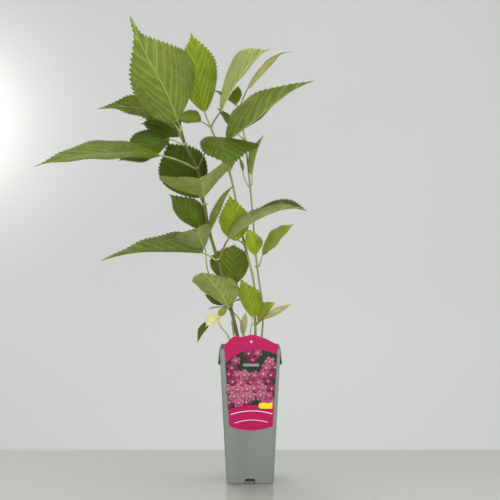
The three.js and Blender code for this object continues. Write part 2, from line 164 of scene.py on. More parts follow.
def ring_at(place, along, radius, sides, side=(0, -1, 0)):
    """A ring of points square to a direction. radius is a number or one for each point."""
    along = unit(along)
    u = unit(vec(side) - along * np.dot(side, along))
    v = np.cross(along, u)
    a = np.arange(sides) * 2 * math.pi / sides
    r = np.broadcast_to(np.asarray(radius, dtype=float), (sides,))
    return place + np.outer(r * np.cos(a), u) + np.outer(r * np.sin(a), v)


# %% [markdown]
# ## Helpers for node trees
#
# Materials and Geometry Nodes are both node trees, and both are easier to read when a node is
# added with its values in one line. These two helpers do that, so each finish below is a short
# list of nodes and links.

# %% Node helpers
def add_node(tree, kind, props=None, values=None):
    node = tree.nodes.new(kind)
    for key, value in (props or {}).items():
        setattr(node, key, value)
    for key, value in (values or {}).items():
        node.inputs[key].default_value = value
    return node


def feed(tree, socket, value):
    """Gives an input a number, an (r, g, b) colour or a link from another node."""
    if isinstance(value, (int, float)):
        socket.default_value = value
    elif isinstance(value, tuple):
        socket.default_value = (*value, 1.0)
    else:
        tree.links.new(value, socket)


def math_node(tree, operation, *values):
    """A Math node whose inputs are sockets or numbers. Returns its output."""
    node = add_node(tree, "ShaderNodeMath", props={"operation": operation})
    for socket, value in zip(node.inputs, values):
        feed(tree, socket, value)
    return node.outputs[0]


def ramp_node(tree, value, low, high, out_low=0.0, out_high=1.0):
    """A smooth step from out_low to out_high between low and high."""
    node = add_node(tree, "ShaderNodeMapRange", props={"interpolation_type": "SMOOTHSTEP"})
    tree.links.new(value, node.inputs["Value"])
    for key, number in (("From Min", low), ("From Max", high),
                        ("To Min", out_low), ("To Max", out_high)):
        node.inputs[key].default_value = number
    return node.outputs["Result"]


def mix_colour(tree, factor, first, second):
    """Mixes two colours, each a socket or an (r, g, b)."""
    node = add_node(tree, "ShaderNodeMix", props={"data_type": "RGBA"})
    for key, value in ((0, factor), (6, first), (7, second)):
        feed(tree, node.inputs[key], value)
    return node.outputs[2]


def new_group(name, inputs, outputs):
    """A shader node group with named sockets. Returns (group, input node, output node)."""
    group = bpy.data.node_groups.new(name, "ShaderNodeTree")
    for label, kind, value in inputs:
        socket = group.interface.new_socket(label, in_out="INPUT", socket_type=kind)
        socket.default_value = value
    for label, kind in outputs:
        group.interface.new_socket(label, in_out="OUTPUT", socket_type=kind)
    return group, group.nodes.new("NodeGroupInput"), group.nodes.new("NodeGroupOutput")


def new_material(name, roughness, **sockets):
    """A Principled material. Returns (material, tree, principled node)."""
    material = bpy.data.materials.new(name)
    material.use_nodes = True
    tree = material.node_tree
    shader = tree.nodes["Principled BSDF"]
    shader.inputs["Roughness"].default_value = roughness
    for key, value in sockets.items():
        shader.inputs[key.replace("_", " ")].default_value = value
    return material, tree, shader


# %% [markdown]
# ## Two effects that several finishes share
#
# Plastic, bark, compost and leaves all have a soft mottling, so one group makes that from noise
# on Object coordinates. The veins of a leaf are the second effect: a midrib, side veins that
# leave it at an angle and bend towards the point, and a fine net between them. They are worked
# out from the blade's own UV map, where u runs from the stalk to the point and v across.

# %% Shared shader groups
def build_mottle():
    """Noise on Object coordinates, at a scale and drawn out along any axis."""
    group, inside, out = new_group(
        "Soft mottle",
        [("Scale", "NodeSocketFloat", 60.0), ("Stretch", "NodeSocketVector", (1, 1, 1)),
         ("Detail", "NodeSocketFloat", 4.0)],
        [("Value", "NodeSocketFloat")])
    coords = add_node(group, "ShaderNodeTexCoord")
    mapping = add_node(group, "ShaderNodeMapping")
    noise = add_node(group, "ShaderNodeTexNoise")
    for source, target in (
            (coords.outputs["Object"], mapping.inputs["Vector"]),
            (inside.outputs["Stretch"], mapping.inputs["Scale"]),
            (mapping.outputs["Vector"], noise.inputs["Vector"]),
            (inside.outputs["Scale"], noise.inputs["Scale"]),
            (inside.outputs["Detail"], noise.inputs["Detail"]),
            (noise.outputs["Fac"], out.inputs["Value"])):
        group.links.new(source, target)
    return group


VEIN_SLOPE = 1.25       # how far a side vein runs towards the point as it runs outwards
VEIN_BEND = 7.0         # how much more so near the margin
VEIN_COUNT = 9.8        # side veins to a blade, if they were spaced as near the stalk
VEIN_THIN = 3.5         # how much wider they are spaced towards the point
RIGHT_SHIFT = 0.42      # the two sides' veins alternate by this part of a space
MARGIN_V = 0.35         # v at the margin, counted from the midrib
NET_ALONG, NET_ACROSS = 4.4, 34.0


def build_veins():
    """Midrib, side veins, the net between them and a mask of the swellings between side veins, for
    painted shade, 0 to 1.
    """
    group, inside, out = new_group(
        "Leaf veins",
        [("Vein width", "NodeSocketFloat", 0.12), ("Rib width", "NodeSocketFloat", 0.012)],
        [(label, "NodeSocketFloat") for label in ("Rib", "Side", "Net", "Quilt")])
    calc, ramp, join = partial(math_node, group), partial(ramp_node, group), group.links.new
    uv = add_node(group, "ShaderNodeUVMap", props={"uv_map": "LeafUV"})
    split = add_node(group, "ShaderNodeSeparateXYZ")
    join(uv.outputs["UV"], split.inputs[0])
    along = split.outputs["X"]
    across = calc("SUBTRACT", split.outputs["Y"], 0.5)
    away = calc("ABSOLUTE", across)
    slope = calc("MULTIPLY_ADD", calc("MULTIPLY", away, away), VEIN_BEND, VEIN_SLOPE)
    start = calc("SUBTRACT", along, calc("MULTIPLY", away, slope))
    spread = calc("MULTIPLY_ADD", start, -VEIN_THIN, VEIN_COUNT)
    phase = calc("MULTIPLY_ADD", calc("GREATER_THAN", across, 0.0), RIGHT_SHIFT,
                 calc("MULTIPLY", start, spread))
    centred = calc("ABSOLUTE", calc("SUBTRACT", calc("FRACT", phase), 0.5))
    near = calc("SUBTRACT", 0.5, centred)
    slim = calc("MULTIPLY_ADD", away, -1.6, 1.0)
    reach = calc("MULTIPLY", inside.outputs["Vein width"], slim)
    join(ramp(calc("DIVIDE", near, reach), 0.25, 1.0, 1.0, 0.0), out.inputs["Side"])
    thin = calc("MULTIPLY_ADD", along, -0.75, 1.0)
    rib = calc("DIVIDE", away, calc("MULTIPLY", inside.outputs["Rib width"], thin))
    join(ramp(rib, 0.55, 1.15, 1.0, 0.0), out.inputs["Rib"])
    rungs = add_node(group, "ShaderNodeCombineXYZ")
    join(calc("MULTIPLY", phase, NET_ALONG), rungs.inputs["X"])
    join(calc("MULTIPLY", across, NET_ACROSS), rungs.inputs["Y"])
    cells = add_node(group, "ShaderNodeTexVoronoi",
                     props={"feature": "DISTANCE_TO_EDGE"}, values={"Scale": 1.0})
    join(rungs.outputs["Vector"], cells.inputs["Vector"])
    join(ramp(cells.outputs["Distance"], 0.0, 0.22, 1.0, 0.0), out.inputs["Net"])
    join(ramp(near, 0.0, 0.45), out.inputs["Quilt"])
    return group


MOTTLE = build_mottle()
VEINS = build_veins()
print("shared groups:", MOTTLE.name, "and", VEINS.name)


def place_mottle(tree, scale, stretch=(1, 1, 1), detail=4.0):
    node = add_node(tree, "ShaderNodeGroup", props={"node_tree": MOTTLE},
                    values={"Scale": scale, "Stretch": stretch, "Detail": detail})
    return node.outputs["Value"]


def place_bump(tree, shader, height, strength, distance):
    bump = add_node(tree, "ShaderNodeBump", values={"Strength": strength, "Distance": distance})
    tree.links.new(height, bump.inputs["Height"])
    tree.links.new(bump.outputs["Normal"], shader.inputs["Normal"])


# %% [markdown]
# ## Leaf finishes
#
# A hydrangea leaf is darker and a little glossy above, and paler and matt beneath, where the veins
# stand out. Old leaves are deep green, young ones nearly yellow, and a leaf lit from behind glows,
# so each tint has an upper and a lower finish, and each leaf gets one tint by a list. The glow is
# painted: the pale and cream tints are partly the leaves' own colour and partly painted light,
# brighter for leaves lit from behind or turned away from the lamps. Shade along the veins and in
# the hollows between them is painted into each finish's colour.

# %% Leaf materials
# pale and cream are partly the leaves' own paler colour and partly painted light: brighter for
# leaves that glow from behind or face away from the lamps.
TINTS = {
    "deep": ((0.080, 0.126, 0.011), (0.150, 0.195, 0.046)),
    "old": ((0.090, 0.140, 0.012), (0.245, 0.298, 0.090)),
    "grey": ((0.062, 0.098, 0.014), (0.215, 0.262, 0.105)),
    "silver": ((0.075, 0.110, 0.016), (0.345, 0.400, 0.150)),
    "mid": ((0.122, 0.178, 0.012), (0.172, 0.226, 0.044)),
    "leafy": ((0.122, 0.178, 0.012), (0.146, 0.194, 0.034)),
    "spring": ((0.205, 0.280, 0.014), (0.250, 0.310, 0.090)),
    "bright": ((0.320, 0.405, 0.030), (0.345, 0.400, 0.140)),
    "pale": ((0.520, 0.560, 0.220), (0.560, 0.580, 0.270)),
    "cream": ((0.830, 0.780, 0.440), (0.860, 0.810, 0.480)),
}


# level is the start of the painted shade factor, which the quilt shade mask raises above and
# lowers beneath.
FACES = {
    "above": dict(roughness=0.55, specular=0.16, vein=0.050, rib_width=0.008, sign=-1.0,
                  lift=(0.035, 0.050, 0.014), level=0.90, side=0.42, rib=0.65),
    "beneath": dict(roughness=0.72, specular=0.12, vein=0.085, rib_width=0.013, sign=1.0,
                    lift=(0.085, 0.092, 0.042), level=1.10, side=0.90, rib=0.95),
}


def leaf_finish(name, colour, face):
    """Raised pale veins beneath, with painted shade in the hollows between them; sunken veins
    between swellings above, with painted shade along them.
    """
    material, tree, shader = new_material(name, face["roughness"],
                                          Specular_IOR_Level=face["specular"])
    calc, mix = partial(math_node, tree), partial(mix_colour, tree)
    veins = add_node(tree, "ShaderNodeGroup", props={"node_tree": VEINS},
                     values={"Vein width": face["vein"], "Rib width": face["rib_width"]})
    side, rib, net, quilt_shade_mask = (veins.outputs[k] for k in ("Side", "Rib", "Net", "Quilt"))
    pale = tuple(min(1.0, c * 1.40 + more) for c, more in zip(colour, face["lift"]))
    sunny = tuple(c * f for c, f in zip(colour, (1.28, 1.18, 0.8)))
    mottle = place_mottle(tree, 70.0)
    cloud = ramp_node(tree, place_mottle(tree, 14.0, detail=1.0), 0.35, 0.65)
    # Painted shade: the quilt shade mask darkens the blade along the side veins above and in the
    # hollows between them beneath; the net darkens its fine grooves above and lightens the raised
    # net beneath, which is partly the veins' own paler colour. The mottle is random tone.
    light = calc("MULTIPLY_ADD", quilt_shade_mask, -face["sign"] * 0.22, face["level"])
    light = calc("MULTIPLY_ADD", net, face["sign"] * 0.16, light)
    light = calc("MULTIPLY", light, calc("MULTIPLY_ADD", mottle, 0.7, 0.65))
    shaded = add_node(tree, "ShaderNodeVectorMath", props={"operation": "SCALE"})
    tree.links.new(mix(calc("MULTIPLY", cloud, 0.6), colour, sunny), shaded.inputs[0])
    tree.links.new(light, shaded.inputs["Scale"])
    blade = mix(calc("MULTIPLY", side, face["side"]), shaded.outputs[0], pale)
    blade = mix(calc("MULTIPLY", rib, face["rib"]), blade, pale)
    tree.links.new(blade, shader.inputs["Base Color"])
    height = calc("MULTIPLY", side, face["sign"] * 0.9)
    height = calc("MULTIPLY_ADD", net, face["sign"] * 0.6, height)
    height = calc("MULTIPLY_ADD", mottle, 0.5, height)
    place_bump(tree, shader, height, 0.9, 0.0009)
    return material


LEAF_MATERIALS = []
TINT_SLOT = {}
for tint, colours in TINTS.items():
    TINT_SLOT[tint] = len(LEAF_MATERIALS)
    for (face_name, face), colour in zip(FACES.items(), colours):
        LEAF_MATERIALS.append(leaf_finish(f"leaf_{tint}_{face_name}", colour, face))
print("leaf finishes:", [m.name for m in LEAF_MATERIALS])

# %% [markdown]
# ## Stems, bark, plastic and compost
#
# Leaf stalks are pale green and some are flushed red. The canes have a thin olive brown bark with
# fine lengthwise streaks, and the young shoots are still green. The pot is moulded grey plastic
# with a soft sheen that its vertical wall draws into faint streaks, and the compost is dark, dry
# on top and rough, with no gloss at all.

# %% Stem, pot and compost materials
def streaked_finish(name, low, high, roughness, scale, upright, bump):
    """Mottling between two colours. Below 1, upright draws it out along +Z."""
    material, tree, shader = new_material(name, roughness)
    streak = place_mottle(tree, scale, (1, 1, upright), 5.0)
    broad = place_mottle(tree, scale * 0.22)
    both = math_node(tree, "MULTIPLY_ADD", broad, 0.5, math_node(tree, "MULTIPLY", streak, 0.5))
    tree.links.new(mix_colour(tree, ramp_node(tree, both, 0.36, 0.62), low, high),
                   shader.inputs["Base Color"])
    rough = ramp_node(tree, streak, 0.3, 0.7, roughness * 0.88, min(1.0, roughness * 1.12))
    tree.links.new(rough, shader.inputs["Roughness"])
    place_bump(tree, shader, streak, 0.5, bump)
    return material


STALK_GREEN = streaked_finish(
    "stalk_green", (0.23, 0.28, 0.075), (0.35, 0.40, 0.130), 0.5, 90, 0.3, 0.0002)
STALK_RED = streaked_finish(
    "stalk_red", (0.170, 0.115, 0.040), (0.250, 0.200, 0.062), 0.5, 90, 0.3, 0.0002)
BARK = streaked_finish(
    "cane_bark", (0.082, 0.070, 0.019), (0.160, 0.146, 0.042), 0.72, 170, 0.12, 0.0006)
BARK_GREEN = streaked_finish(
    "cane_green_bark", (0.180, 0.190, 0.060), (0.300, 0.310, 0.110), 0.62, 150, 0.12, 0.0004)
LENTICEL = streaked_finish(
    "lenticel_cork", (0.045, 0.022, 0.012), (0.105, 0.058, 0.030), 0.85, 300, 1, 0.0002)
POT_PLASTIC = streaked_finish(
    "pot_plastic", (0.162, 0.186, 0.164), (0.183, 0.210, 0.184), 0.46, 24, 0.15, 0.00006)
COMPOST = streaked_finish(
    "compost", (0.018, 0.011, 0.007), (0.085, 0.055, 0.035), 0.95, 210, 1, 0.0012)
CRUMB_PALE = streaked_finish(
    "compost_fibre", (0.10, 0.065, 0.035), (0.22, 0.15, 0.09), 0.92, 260, 1, 0.0004)
print("stem, pot and compost finishes: 8")

# %% [markdown]
# ## The shape of the canes
#
# Each cane leans and bends a little at every node, and thins slowly towards its tip. A smooth
# curve through the nodes gives that line. The radius falls evenly from foot to tip, swells at
# each node where a pair of leaves sits, and flares very slightly where the cane leaves the
# compost. Low ridges and grain along the bark are part of the mesh, so it catches side light.

# %% Canes
GAP = 0.35              # between pieces that sit on each other
NODE_SWELL = 0.14       # growth of the radius at a node
SWELL_LENGTH = 2.6      # how far along the cane it reaches
SCAR, SCAR_LENGTH = 0.05, 0.5
RIDGE, RIDGE_COUNT = 0.018, 5
GRAIN = 0.012
FLARE, FLARE_PART = 0.25, 0.04
CANES = {
    "main_cane": dict(foot=2.7, tip=2.1, nodes=(2, 4, 5, 6, 7, 8), bark=BARK, line=[
        (-14, 0, 183.9), (-19, 0, 216), (-30, 0, 261), (-43, 0, 308), (-49, 0, 332),
        (-62, -5, 376), (-69, -5, 415), (-80, -8, 469), (-98, -10, 505), (-103, -12, 525)]),
    "middle_cane": dict(foot=1.9, tip=1.6, nodes=(1, 3, 4), bark=BARK_GREEN, line=[
        (9, 10, 183.9), (8, 10, 233), (6, 10, 296), (-9, 8, 357), (-32, 5, 467),
        (-58, 5, 528)]),
    "right_cane": dict(foot=1.5, tip=1.1, nodes=(2, 3, 4), bark=BARK_GREEN, line=[
        (15, 22, 183.9), (20, 22, 247), (11, 18, 321), (0, 14, 444), (-8, 12, 515),
        (-15, 12, 557)]),
    "thin_shoot": dict(foot=1.1, tip=0.9, nodes=(3,), bark=STALK_GREEN, line=[
        (-5, 16, 183.9), (-14, 15, 236), (-25, 15, 250), (-37, 11, 259), (-64, 8, 314),
        (-67, -4, 343)]),
    "low_shoot": dict(foot=1.4, tip=1.0, nodes=(), bark=STALK_GREEN, line=[
        (-27, -25, 183.9), (-32, -28, 217), (-43, -32, 232), (-49, -34, 245)]),
    "front_shoot": dict(foot=1.1, tip=0.9, nodes=(), bark=STALK_GREEN, line=[
        (-6, -26, 183.9), (-1, -26, 212), (3, -24, 240)]),
}


def curve_point(points, t):
    """(place, direction) on a smooth centripetal curve through the points, t from 0 to 1.
    A mirrored point past each end gives the first and last span their direction."""
    pts = [vec(p) for p in points]
    pts = [2 * pts[0] - pts[1]] + pts + [2 * pts[-1] - pts[-2]]
    spans = len(points) - 1
    where = min(t, 1.0) * spans
    i = min(int(where), spans - 1)
    w = where - i
    p0, p1, p2, p3 = pts[i:i + 4]
    d0, d1, d2 = (np.linalg.norm(b - a) ** 0.5 for a, b in ((p0, p1), (p1, p2), (p2, p3)))
    t1 = ((p1 - p0) / d0 - (p2 - p0) / (d0 + d1) + (p2 - p1) / d1) * d1
    t2 = ((p2 - p1) / d1 - (p3 - p1) / (d1 + d2) + (p3 - p2) / d2) * d1
    c2 = -3 * p1 + 3 * p2 - 2 * t1 - t2
    c3 = 2 * p1 - 2 * p2 + t1 + t2
    place = p1 + t1 * w + c2 * w * w + c3 * w ** 3
    return place, unit(t1 + 2 * c2 * w + 3 * c3 * w * w)


def cane_radius(cane, t):
    flare = FLARE * max(0.0, 1 - t / FLARE_PART)
    return cane["foot"] + (cane["tip"] - cane["foot"]) * t + flare * cane["foot"]


def cane_at(name, index=-1):
    """(place, direction, radius) of a cane at one of its nodes, or at its tip."""
    cane = CANES[name]
    count = len(cane["line"]) - 1
    t = (index if index >= 0 else count) / count
    place, along = curve_point(cane["line"], t)
    return place, along, cane_radius(cane, t) * (1 + NODE_SWELL)


def cane_piece(name, sides=20, step=1.6):
    """A cane's mesh: rings every step millimetres, with ridges and leaf scars at the nodes."""
    cane = CANES[name]
    rng = np.random.default_rng(len(name) * 7 + 3)
    length = sum(np.linalg.norm(vec(b) - vec(a))
                 for a, b in zip(cane["line"], cane["line"][1:]))
    count = int(length / step)
    spots = [k / (len(cane["line"]) - 1) for k in cane["nodes"]]
    grain = rng.normal(0, 1, (count + 1, sides))
    for _ in range(6):
        grain[1:] = 0.72 * grain[:-1] + 0.28 * grain[1:]
    ridge = RIDGE * np.sin(np.arange(sides) * 2 * math.pi / sides * RIDGE_COUNT + 1.0)
    rings = []
    for i in range(count + 1):
        t = i / count
        place, along = curve_point(cane["line"], t)
        along = vec((0, 0, 1)) if i == 0 else along
        past = [(t - s) * length for s in spots]
        swell = sum(NODE_SWELL * math.exp(-(d / SWELL_LENGTH) ** 2) for d in past)
        scar = sum(SCAR * math.exp(-((d + SWELL_LENGTH) / SCAR_LENGTH) ** 2) for d in past)
        radius = cane_radius(cane, t) * (1 + swell + scar + ridge + GRAIN * grain[i])
        rings.append(ring_at(place, along, np.minimum(radius, radius.mean() * 1.03), sides))
    return make_mesh(name + "_bark", np.concatenate(rings), skin(rings), [cane["bark"]])


cane_objects = {name: cane_piece(name) for name in CANES}
print("canes made:", list(cane_objects))

# %% [markdown]
# ## Lenticels by Geometry Nodes
#
# The bark of a hydrangea cane is dotted with lenticels, small corky pores that stand slightly
# proud. They are many and alike, so Geometry Nodes scatter flattened beads over the bark with a
# fixed seed. The instances are realized and turned into a plain mesh, since only plain meshes
# travel on with the model.

# %% Scatter tree and lenticels
def tree_socket(tree, name):
    """The identifier of a node tree's input with this name."""
    return next(item.identifier for item in tree.interface.items_tree
                if item.name == name and item.in_out == "INPUT")


def begin_tree(name, inputs):
    """A Geometry Nodes tree with named inputs. Returns (tree, input node, output node)."""
    tree = bpy.data.node_groups.new(name, "GeometryNodeTree")
    for label, kind in (("Geometry", "Geometry"), *inputs, ("Smallest", "Float"),
                        ("Largest", "Float"), ("Seed", "Int"), ("Material", "Material")):
        tree.interface.new_socket(label, in_out="INPUT", socket_type="NodeSocket" + kind)
    tree.interface.new_socket("Geometry", in_out="OUTPUT", socket_type="NodeSocketGeometry")
    return tree, tree.nodes.new("NodeGroupInput"), tree.nodes.new("NodeGroupOutput")


def random_size(tree, inside):
    """A random number between the tree's smallest and largest size."""
    size = add_node(tree, "FunctionNodeRandomValue", props={"data_type": "FLOAT"})
    for label, key in (("Smallest", 2), ("Largest", 3), ("Seed", "Seed")):
        tree.links.new(inside.outputs[label], size.inputs[key])
    return size.outputs[1]


def end_tree(tree, inside, out, instances):
    """The last steps of a tree: instances realized, and one material set."""
    real = add_node(tree, "GeometryNodeRealizeInstances")
    paint = add_node(tree, "GeometryNodeSetMaterial")
    tree.links.new(instances, real.inputs["Geometry"])
    tree.links.new(real.outputs["Geometry"], paint.inputs["Geometry"])
    tree.links.new(inside.outputs["Material"], paint.inputs["Material"])
    tree.links.new(paint.outputs["Geometry"], out.inputs["Geometry"])
    return tree


def run_tree(obj, tree, name, **inputs):
    """Runs a tree on an object, and returns what it makes as a plain mesh."""
    modifier = obj.modifiers.new("tree", "NODES")
    modifier.node_group = tree
    for label, value in inputs.items():
        modifier[tree_socket(tree, label)] = value
    mesh = plain_mesh(obj, name)
    obj.modifiers.remove(modifier)
    return mesh


def build_scatter(name, flatten):
    """Beads scattered on a surface: named inputs, a fixed seed, realized, one material."""
    tree, inside, out = begin_tree(name, [("Density", "Float")])
    spread = add_node(tree, "GeometryNodeDistributePointsOnFaces")
    bead = add_node(tree, "GeometryNodeMeshIcoSphere", values={"Radius": 1.0, "Subdivisions": 1})
    place = add_node(tree, "GeometryNodeInstanceOnPoints")
    shape = add_node(tree, "GeometryNodeScaleInstances", values={"Scale": flatten})
    join = tree.links.new
    join(inside.outputs["Geometry"], spread.inputs["Mesh"])
    join(inside.outputs["Density"], spread.inputs["Density"])
    join(inside.outputs["Seed"], spread.inputs["Seed"])
    join(spread.outputs["Points"], place.inputs["Points"])
    join(spread.outputs["Rotation"], place.inputs["Rotation"])
    join(bead.outputs["Mesh"], place.inputs["Instance"])
    join(random_size(tree, inside), place.inputs["Scale"])
    join(place.outputs["Instances"], shape.inputs["Instances"])
    return end_tree(tree, inside, out, shape.outputs["Instances"])


def scatter_on(surface, tree, name, material, density, smallest, largest, seed):
    mesh = run_tree(surface, tree, name, Density=density, Smallest=smallest, Largest=largest,
                    Seed=seed, Material=material)
    if not mesh.materials:
        mesh.materials.append(material)
    return link_new(name, mesh)


LENTICEL_TREE = build_scatter("Lenticels on bark", (1.0, 1.0, 0.32))
for name, density in (("main_cane", 42000), ("middle_cane", 24000), ("right_cane", 16000)):
    dots = scatter_on(cane_objects[name], LENTICEL_TREE, name + "_lenticels", LENTICEL,
                      density, 0.00036, 0.00100, 11)
    hand_over(dots, "cane_bark", name)
for name, obj in cane_objects.items():
    hand_over(obj, "cane_bark" if name.endswith("cane") else "green_shoot", name)

# %% [markdown]
# ## One leaf
#
# A blade is ovate: widest a little below the middle, with a drawn out point and a saw edge of
# forward teeth. It is folded along the midrib and arches along its length. Modelling each leaf
# by hand would take long and end up less regular than the real thing, so one function makes any
# leaf from its sizes: two thin skins a fraction of a millimetre apart, joined at the toothed
# margin, puffed up between the side veins and with a midrib that stands out beneath.

# %% Leaf rule
RISE_POWER = 0.62       # how fast a blade widens from its stalk
POINT_POWER = 1.3       # how fast it narrows to its point
NECK = 0.10             # width of the drawn out point
TOOTH_STEPS = 5         # rows of points to a tooth
LARGE_LEAF = 60         # blades longer than this are thicker and have more points across
THICK_LARGE, THICK_SMALL = 0.42, 0.34
THIN_MARGIN = 0.22      # half the margin's thickness, as a part of the blade's
PUFF = 0.020            # swelling between side veins, as a part of the width
RIPPLE = 0.011          # waves of the margin, as a part of the width


def half_width(t, taper, drawn=0.06):
    """Half a blade's width at a fraction t of its length, as a part of its greatest: an ovate
    body that runs out into a narrow neck at the point."""
    def shape(s):
        return s ** RISE_POWER * (1 - s ** taper) ** POINT_POWER

    if t <= 0 or t >= 1:
        return 0.0
    peak = (RISE_POWER / (RISE_POWER + POINT_POWER * taper)) ** (1 / taper)
    body = shape(min(1.0, t / (1 - drawn))) / shape(peak)
    neck = NECK * min(1.0, t * 8) * min(1.0, (1 - t) / (drawn + 0.06))
    return (body ** 3 + neck ** 3) ** (1 / 3)


class Leaf:
    """The place, directions and sizes of one leaf."""

    def __init__(self, centre, tint, stalk_tint, stalk, blade, one, other=None,
                 bend=(0.05, 0), point=(0.06, 0, 0)):
        self.tint, self.stalk_tint = tint, stalk_tint
        self.stalk_turn, self.stalk_rise, self.stalk_length = stalk
        turn, rise, self.length, roll = blade
        self.halves = {1: one, -1: other or one}
        self.arch, self.bow = bend
        self.drawn, self.hook, self.veer = point
        self.base = centre + aim(self.stalk_turn, self.stalk_rise) * self.stalk_length
        self.axis = aim(turn, rise)
        level = unit(vec((0, 0, 1)) - self.axis * self.axis[2])
        across = np.cross(self.axis, level)
        a = math.radians(roll)
        self.normal = level * math.cos(a) + across * math.sin(a)
        self.side = np.cross(self.axis, self.normal)
        self.width = self.halves[1][0] + self.halves[-1][0]
        self.rng = np.random.default_rng(int(self.length * 13 + self.width * 7 + turn))
        self.into = self.axis + self.normal * 4 * self.arch + self.side * 4 * self.bow

    def middle(self, t):
        hump = 4 * self.length * t * (1 - t)
        late = self.length * max(0.0, 2 * t - 1) ** 2
        return (self.base + self.axis * self.length * t
                + self.normal * (self.arch * hump + self.hook * late)
                + self.side * (self.bow * hump + self.veer * late))

    def blade(self):
        """(points, faces, slots, uv) of the blade: two thin skins joined at a toothed margin."""
        pitch = 3.6 + self.length * 0.020
        teeth = max(7, int(self.length * 1.1 / pitch))
        rows = teeth * TOOTH_STEPS
        large = self.length > LARGE_LEAF
        columns, thick = (13, THICK_LARGE) if large else (9, THICK_SMALL)
        bite = min(0.50 * pitch, self.width * 0.06)
        wave = self.rng.uniform(0.5, 1.2, 4) * RIPPLE * self.width
        swing = self.rng.uniform(0, 6.28, 4)
        top, low, uv = [], [], []
        for i in range(rows + 1):
            t = i / rows
            mid = self.middle(t)
            step = ((i % TOOTH_STEPS) / (TOOTH_STEPS - 1)) ** 0.75
            cut = bite * min(1.0, t * 14, (1 - t) * 9)
            calm = min(1.0, t * 6) * min(1.0, (1 - t) * 3)
            for j in range(-columns, columns + 1):
                sign, k = (1 if j >= 0 else -1), abs(j)
                width, lift, taper = self.halves[sign]
                half = max(0.9 if t < 0.5 else 0.18, half_width(t, taper, self.drawn) * width)
                rib = min(half * 0.28, (0.5 + self.length * 0.0045) * (1 - 0.8 * t))
                if k < 3:
                    reach = rib * (0, 0.55, 1.1)[k]
                else:
                    reach = rib * 1.1 + (half - rib * 1.1) * ((k - 2) / (columns - 2)) ** 0.92
                edge = reach / half
                if k == columns:
                    reach = max(0.15, reach + cut * (step - 0.55))
                v = MARGIN_V * reach / width
                start = t - v * (VEIN_SLOPE + VEIN_BEND * v * v)
                phase = start * (VEIN_COUNT - VEIN_THIN * start)
                phase += RIGHT_SHIFT if sign > 0 else 0.0
                puff = math.sin(math.pi * (phase % 1.0))
                swell = PUFF * self.width * puff * math.sin(math.pi * min(1, edge)) ** 0.7
                ripple = calm * sum(wave[n] * edge ** 3
                                    * math.sin((n + 2) * 4.1 * t + swing[n] + sign * 1.3)
                                    for n in range(4))
                angle = math.radians(lift)
                up = reach * math.sin(angle) * edge ** 0.2 + swell * calm + ripple
                p = mid + self.side * sign * reach * math.cos(angle) + self.normal * up
                if k == columns:
                    p = p + self.axis * cut * 0.6 * step
                skin_half = thick * (0.5 if k < columns else THIN_MARGIN)
                beneath = rib * (1.15, 0.85, 0.15)[k] if k < 3 else 0.0
                groove = rib * (0.22, 0.1, 0.0)[k] if k < 3 else 0.0
                top.append(p + self.normal * (skin_half - groove))
                low.append(p - self.normal * (skin_half + beneath))
                uv.append((t, 0.5 + sign * v))
        wide = 2 * columns + 1
        count = len(top)
        faces, slots = [], []
        slot = TINT_SLOT[self.tint]
        for i in range(rows):
            for j in range(wide - 1):
                a = i * wide + j
                faces.append((a, a + wide, a + wide + 1, a + 1))
                slots.append(slot)
                faces.append((count + a, count + a + 1, count + a + wide + 1, count + a + wide))
                slots.append(slot + 1)
            for a, flip in ((i * wide, True), (i * wide + wide - 1, False)):
                quad = (a, a + wide, count + a + wide, count + a)
                faces.append(quad[::-1] if flip else quad)
                slots.append(slot)
        last = rows * wide
        for j in range(wide - 1):
            faces.append((j, j + 1, count + j + 1, count + j))
            faces.append((last + j + 1, last + j, count + last + j, count + last + j + 1))
            slots.extend((slot + 1, slot))
        return top + low, faces, slots, uv + uv

    def stalk_rings(self, start, direction, steps=14, sides=12):
        """The stalk's rings, from its seat on the cane into the midrib."""
        inner = self.base + self.into * min(5.0, self.length * 0.07)
        out = direction * self.stalk_length * 0.9
        span = np.linalg.norm(inner - start)
        radius = min(1.5, 0.7 + self.length * 0.0045)
        rings = []
        for i in range(steps + 1):
            t = i / steps
            p = (start * (2 * t ** 3 - 3 * t * t + 1) + out * (t ** 3 - 2 * t * t + t)
                 + inner * (3 * t * t - 2 * t ** 3) + self.into * (t ** 3 - t * t) * span * 0.7)
            along = (start * (6 * t * t - 6 * t) + out * (3 * t * t - 4 * t + 1)
                     + inner * (6 * t - 6 * t * t)
                     + self.into * (3 * t * t - 2 * t) * span * 0.7)
            r = radius * (1.1 - 0.25 * t) * (1 + 0.25 * math.exp(-t * 12))
            r *= 1 - 0.72 * max(0.0, (t - 0.82) / 0.18) ** 1.5
            rings.append(ring_at(p, along, r, sides, self.side))
        return rings


print("half widths down a blade:", [round(half_width(k / 8, 2.2), 2) for k in range(9)])

# %% [markdown]
# ## The masses of foliage
#
# Leaves sit in opposite pairs, and the feet of a pair's stalks join round the cane in a narrow
# collar. At a tip, the stalks rise from a small pointed bud instead. The table gives each leaf
# what a botanist would measure: where its stalk points and how long it is, where the blade
# points, its length and width, how it is rolled, folded and arched, and its tint.

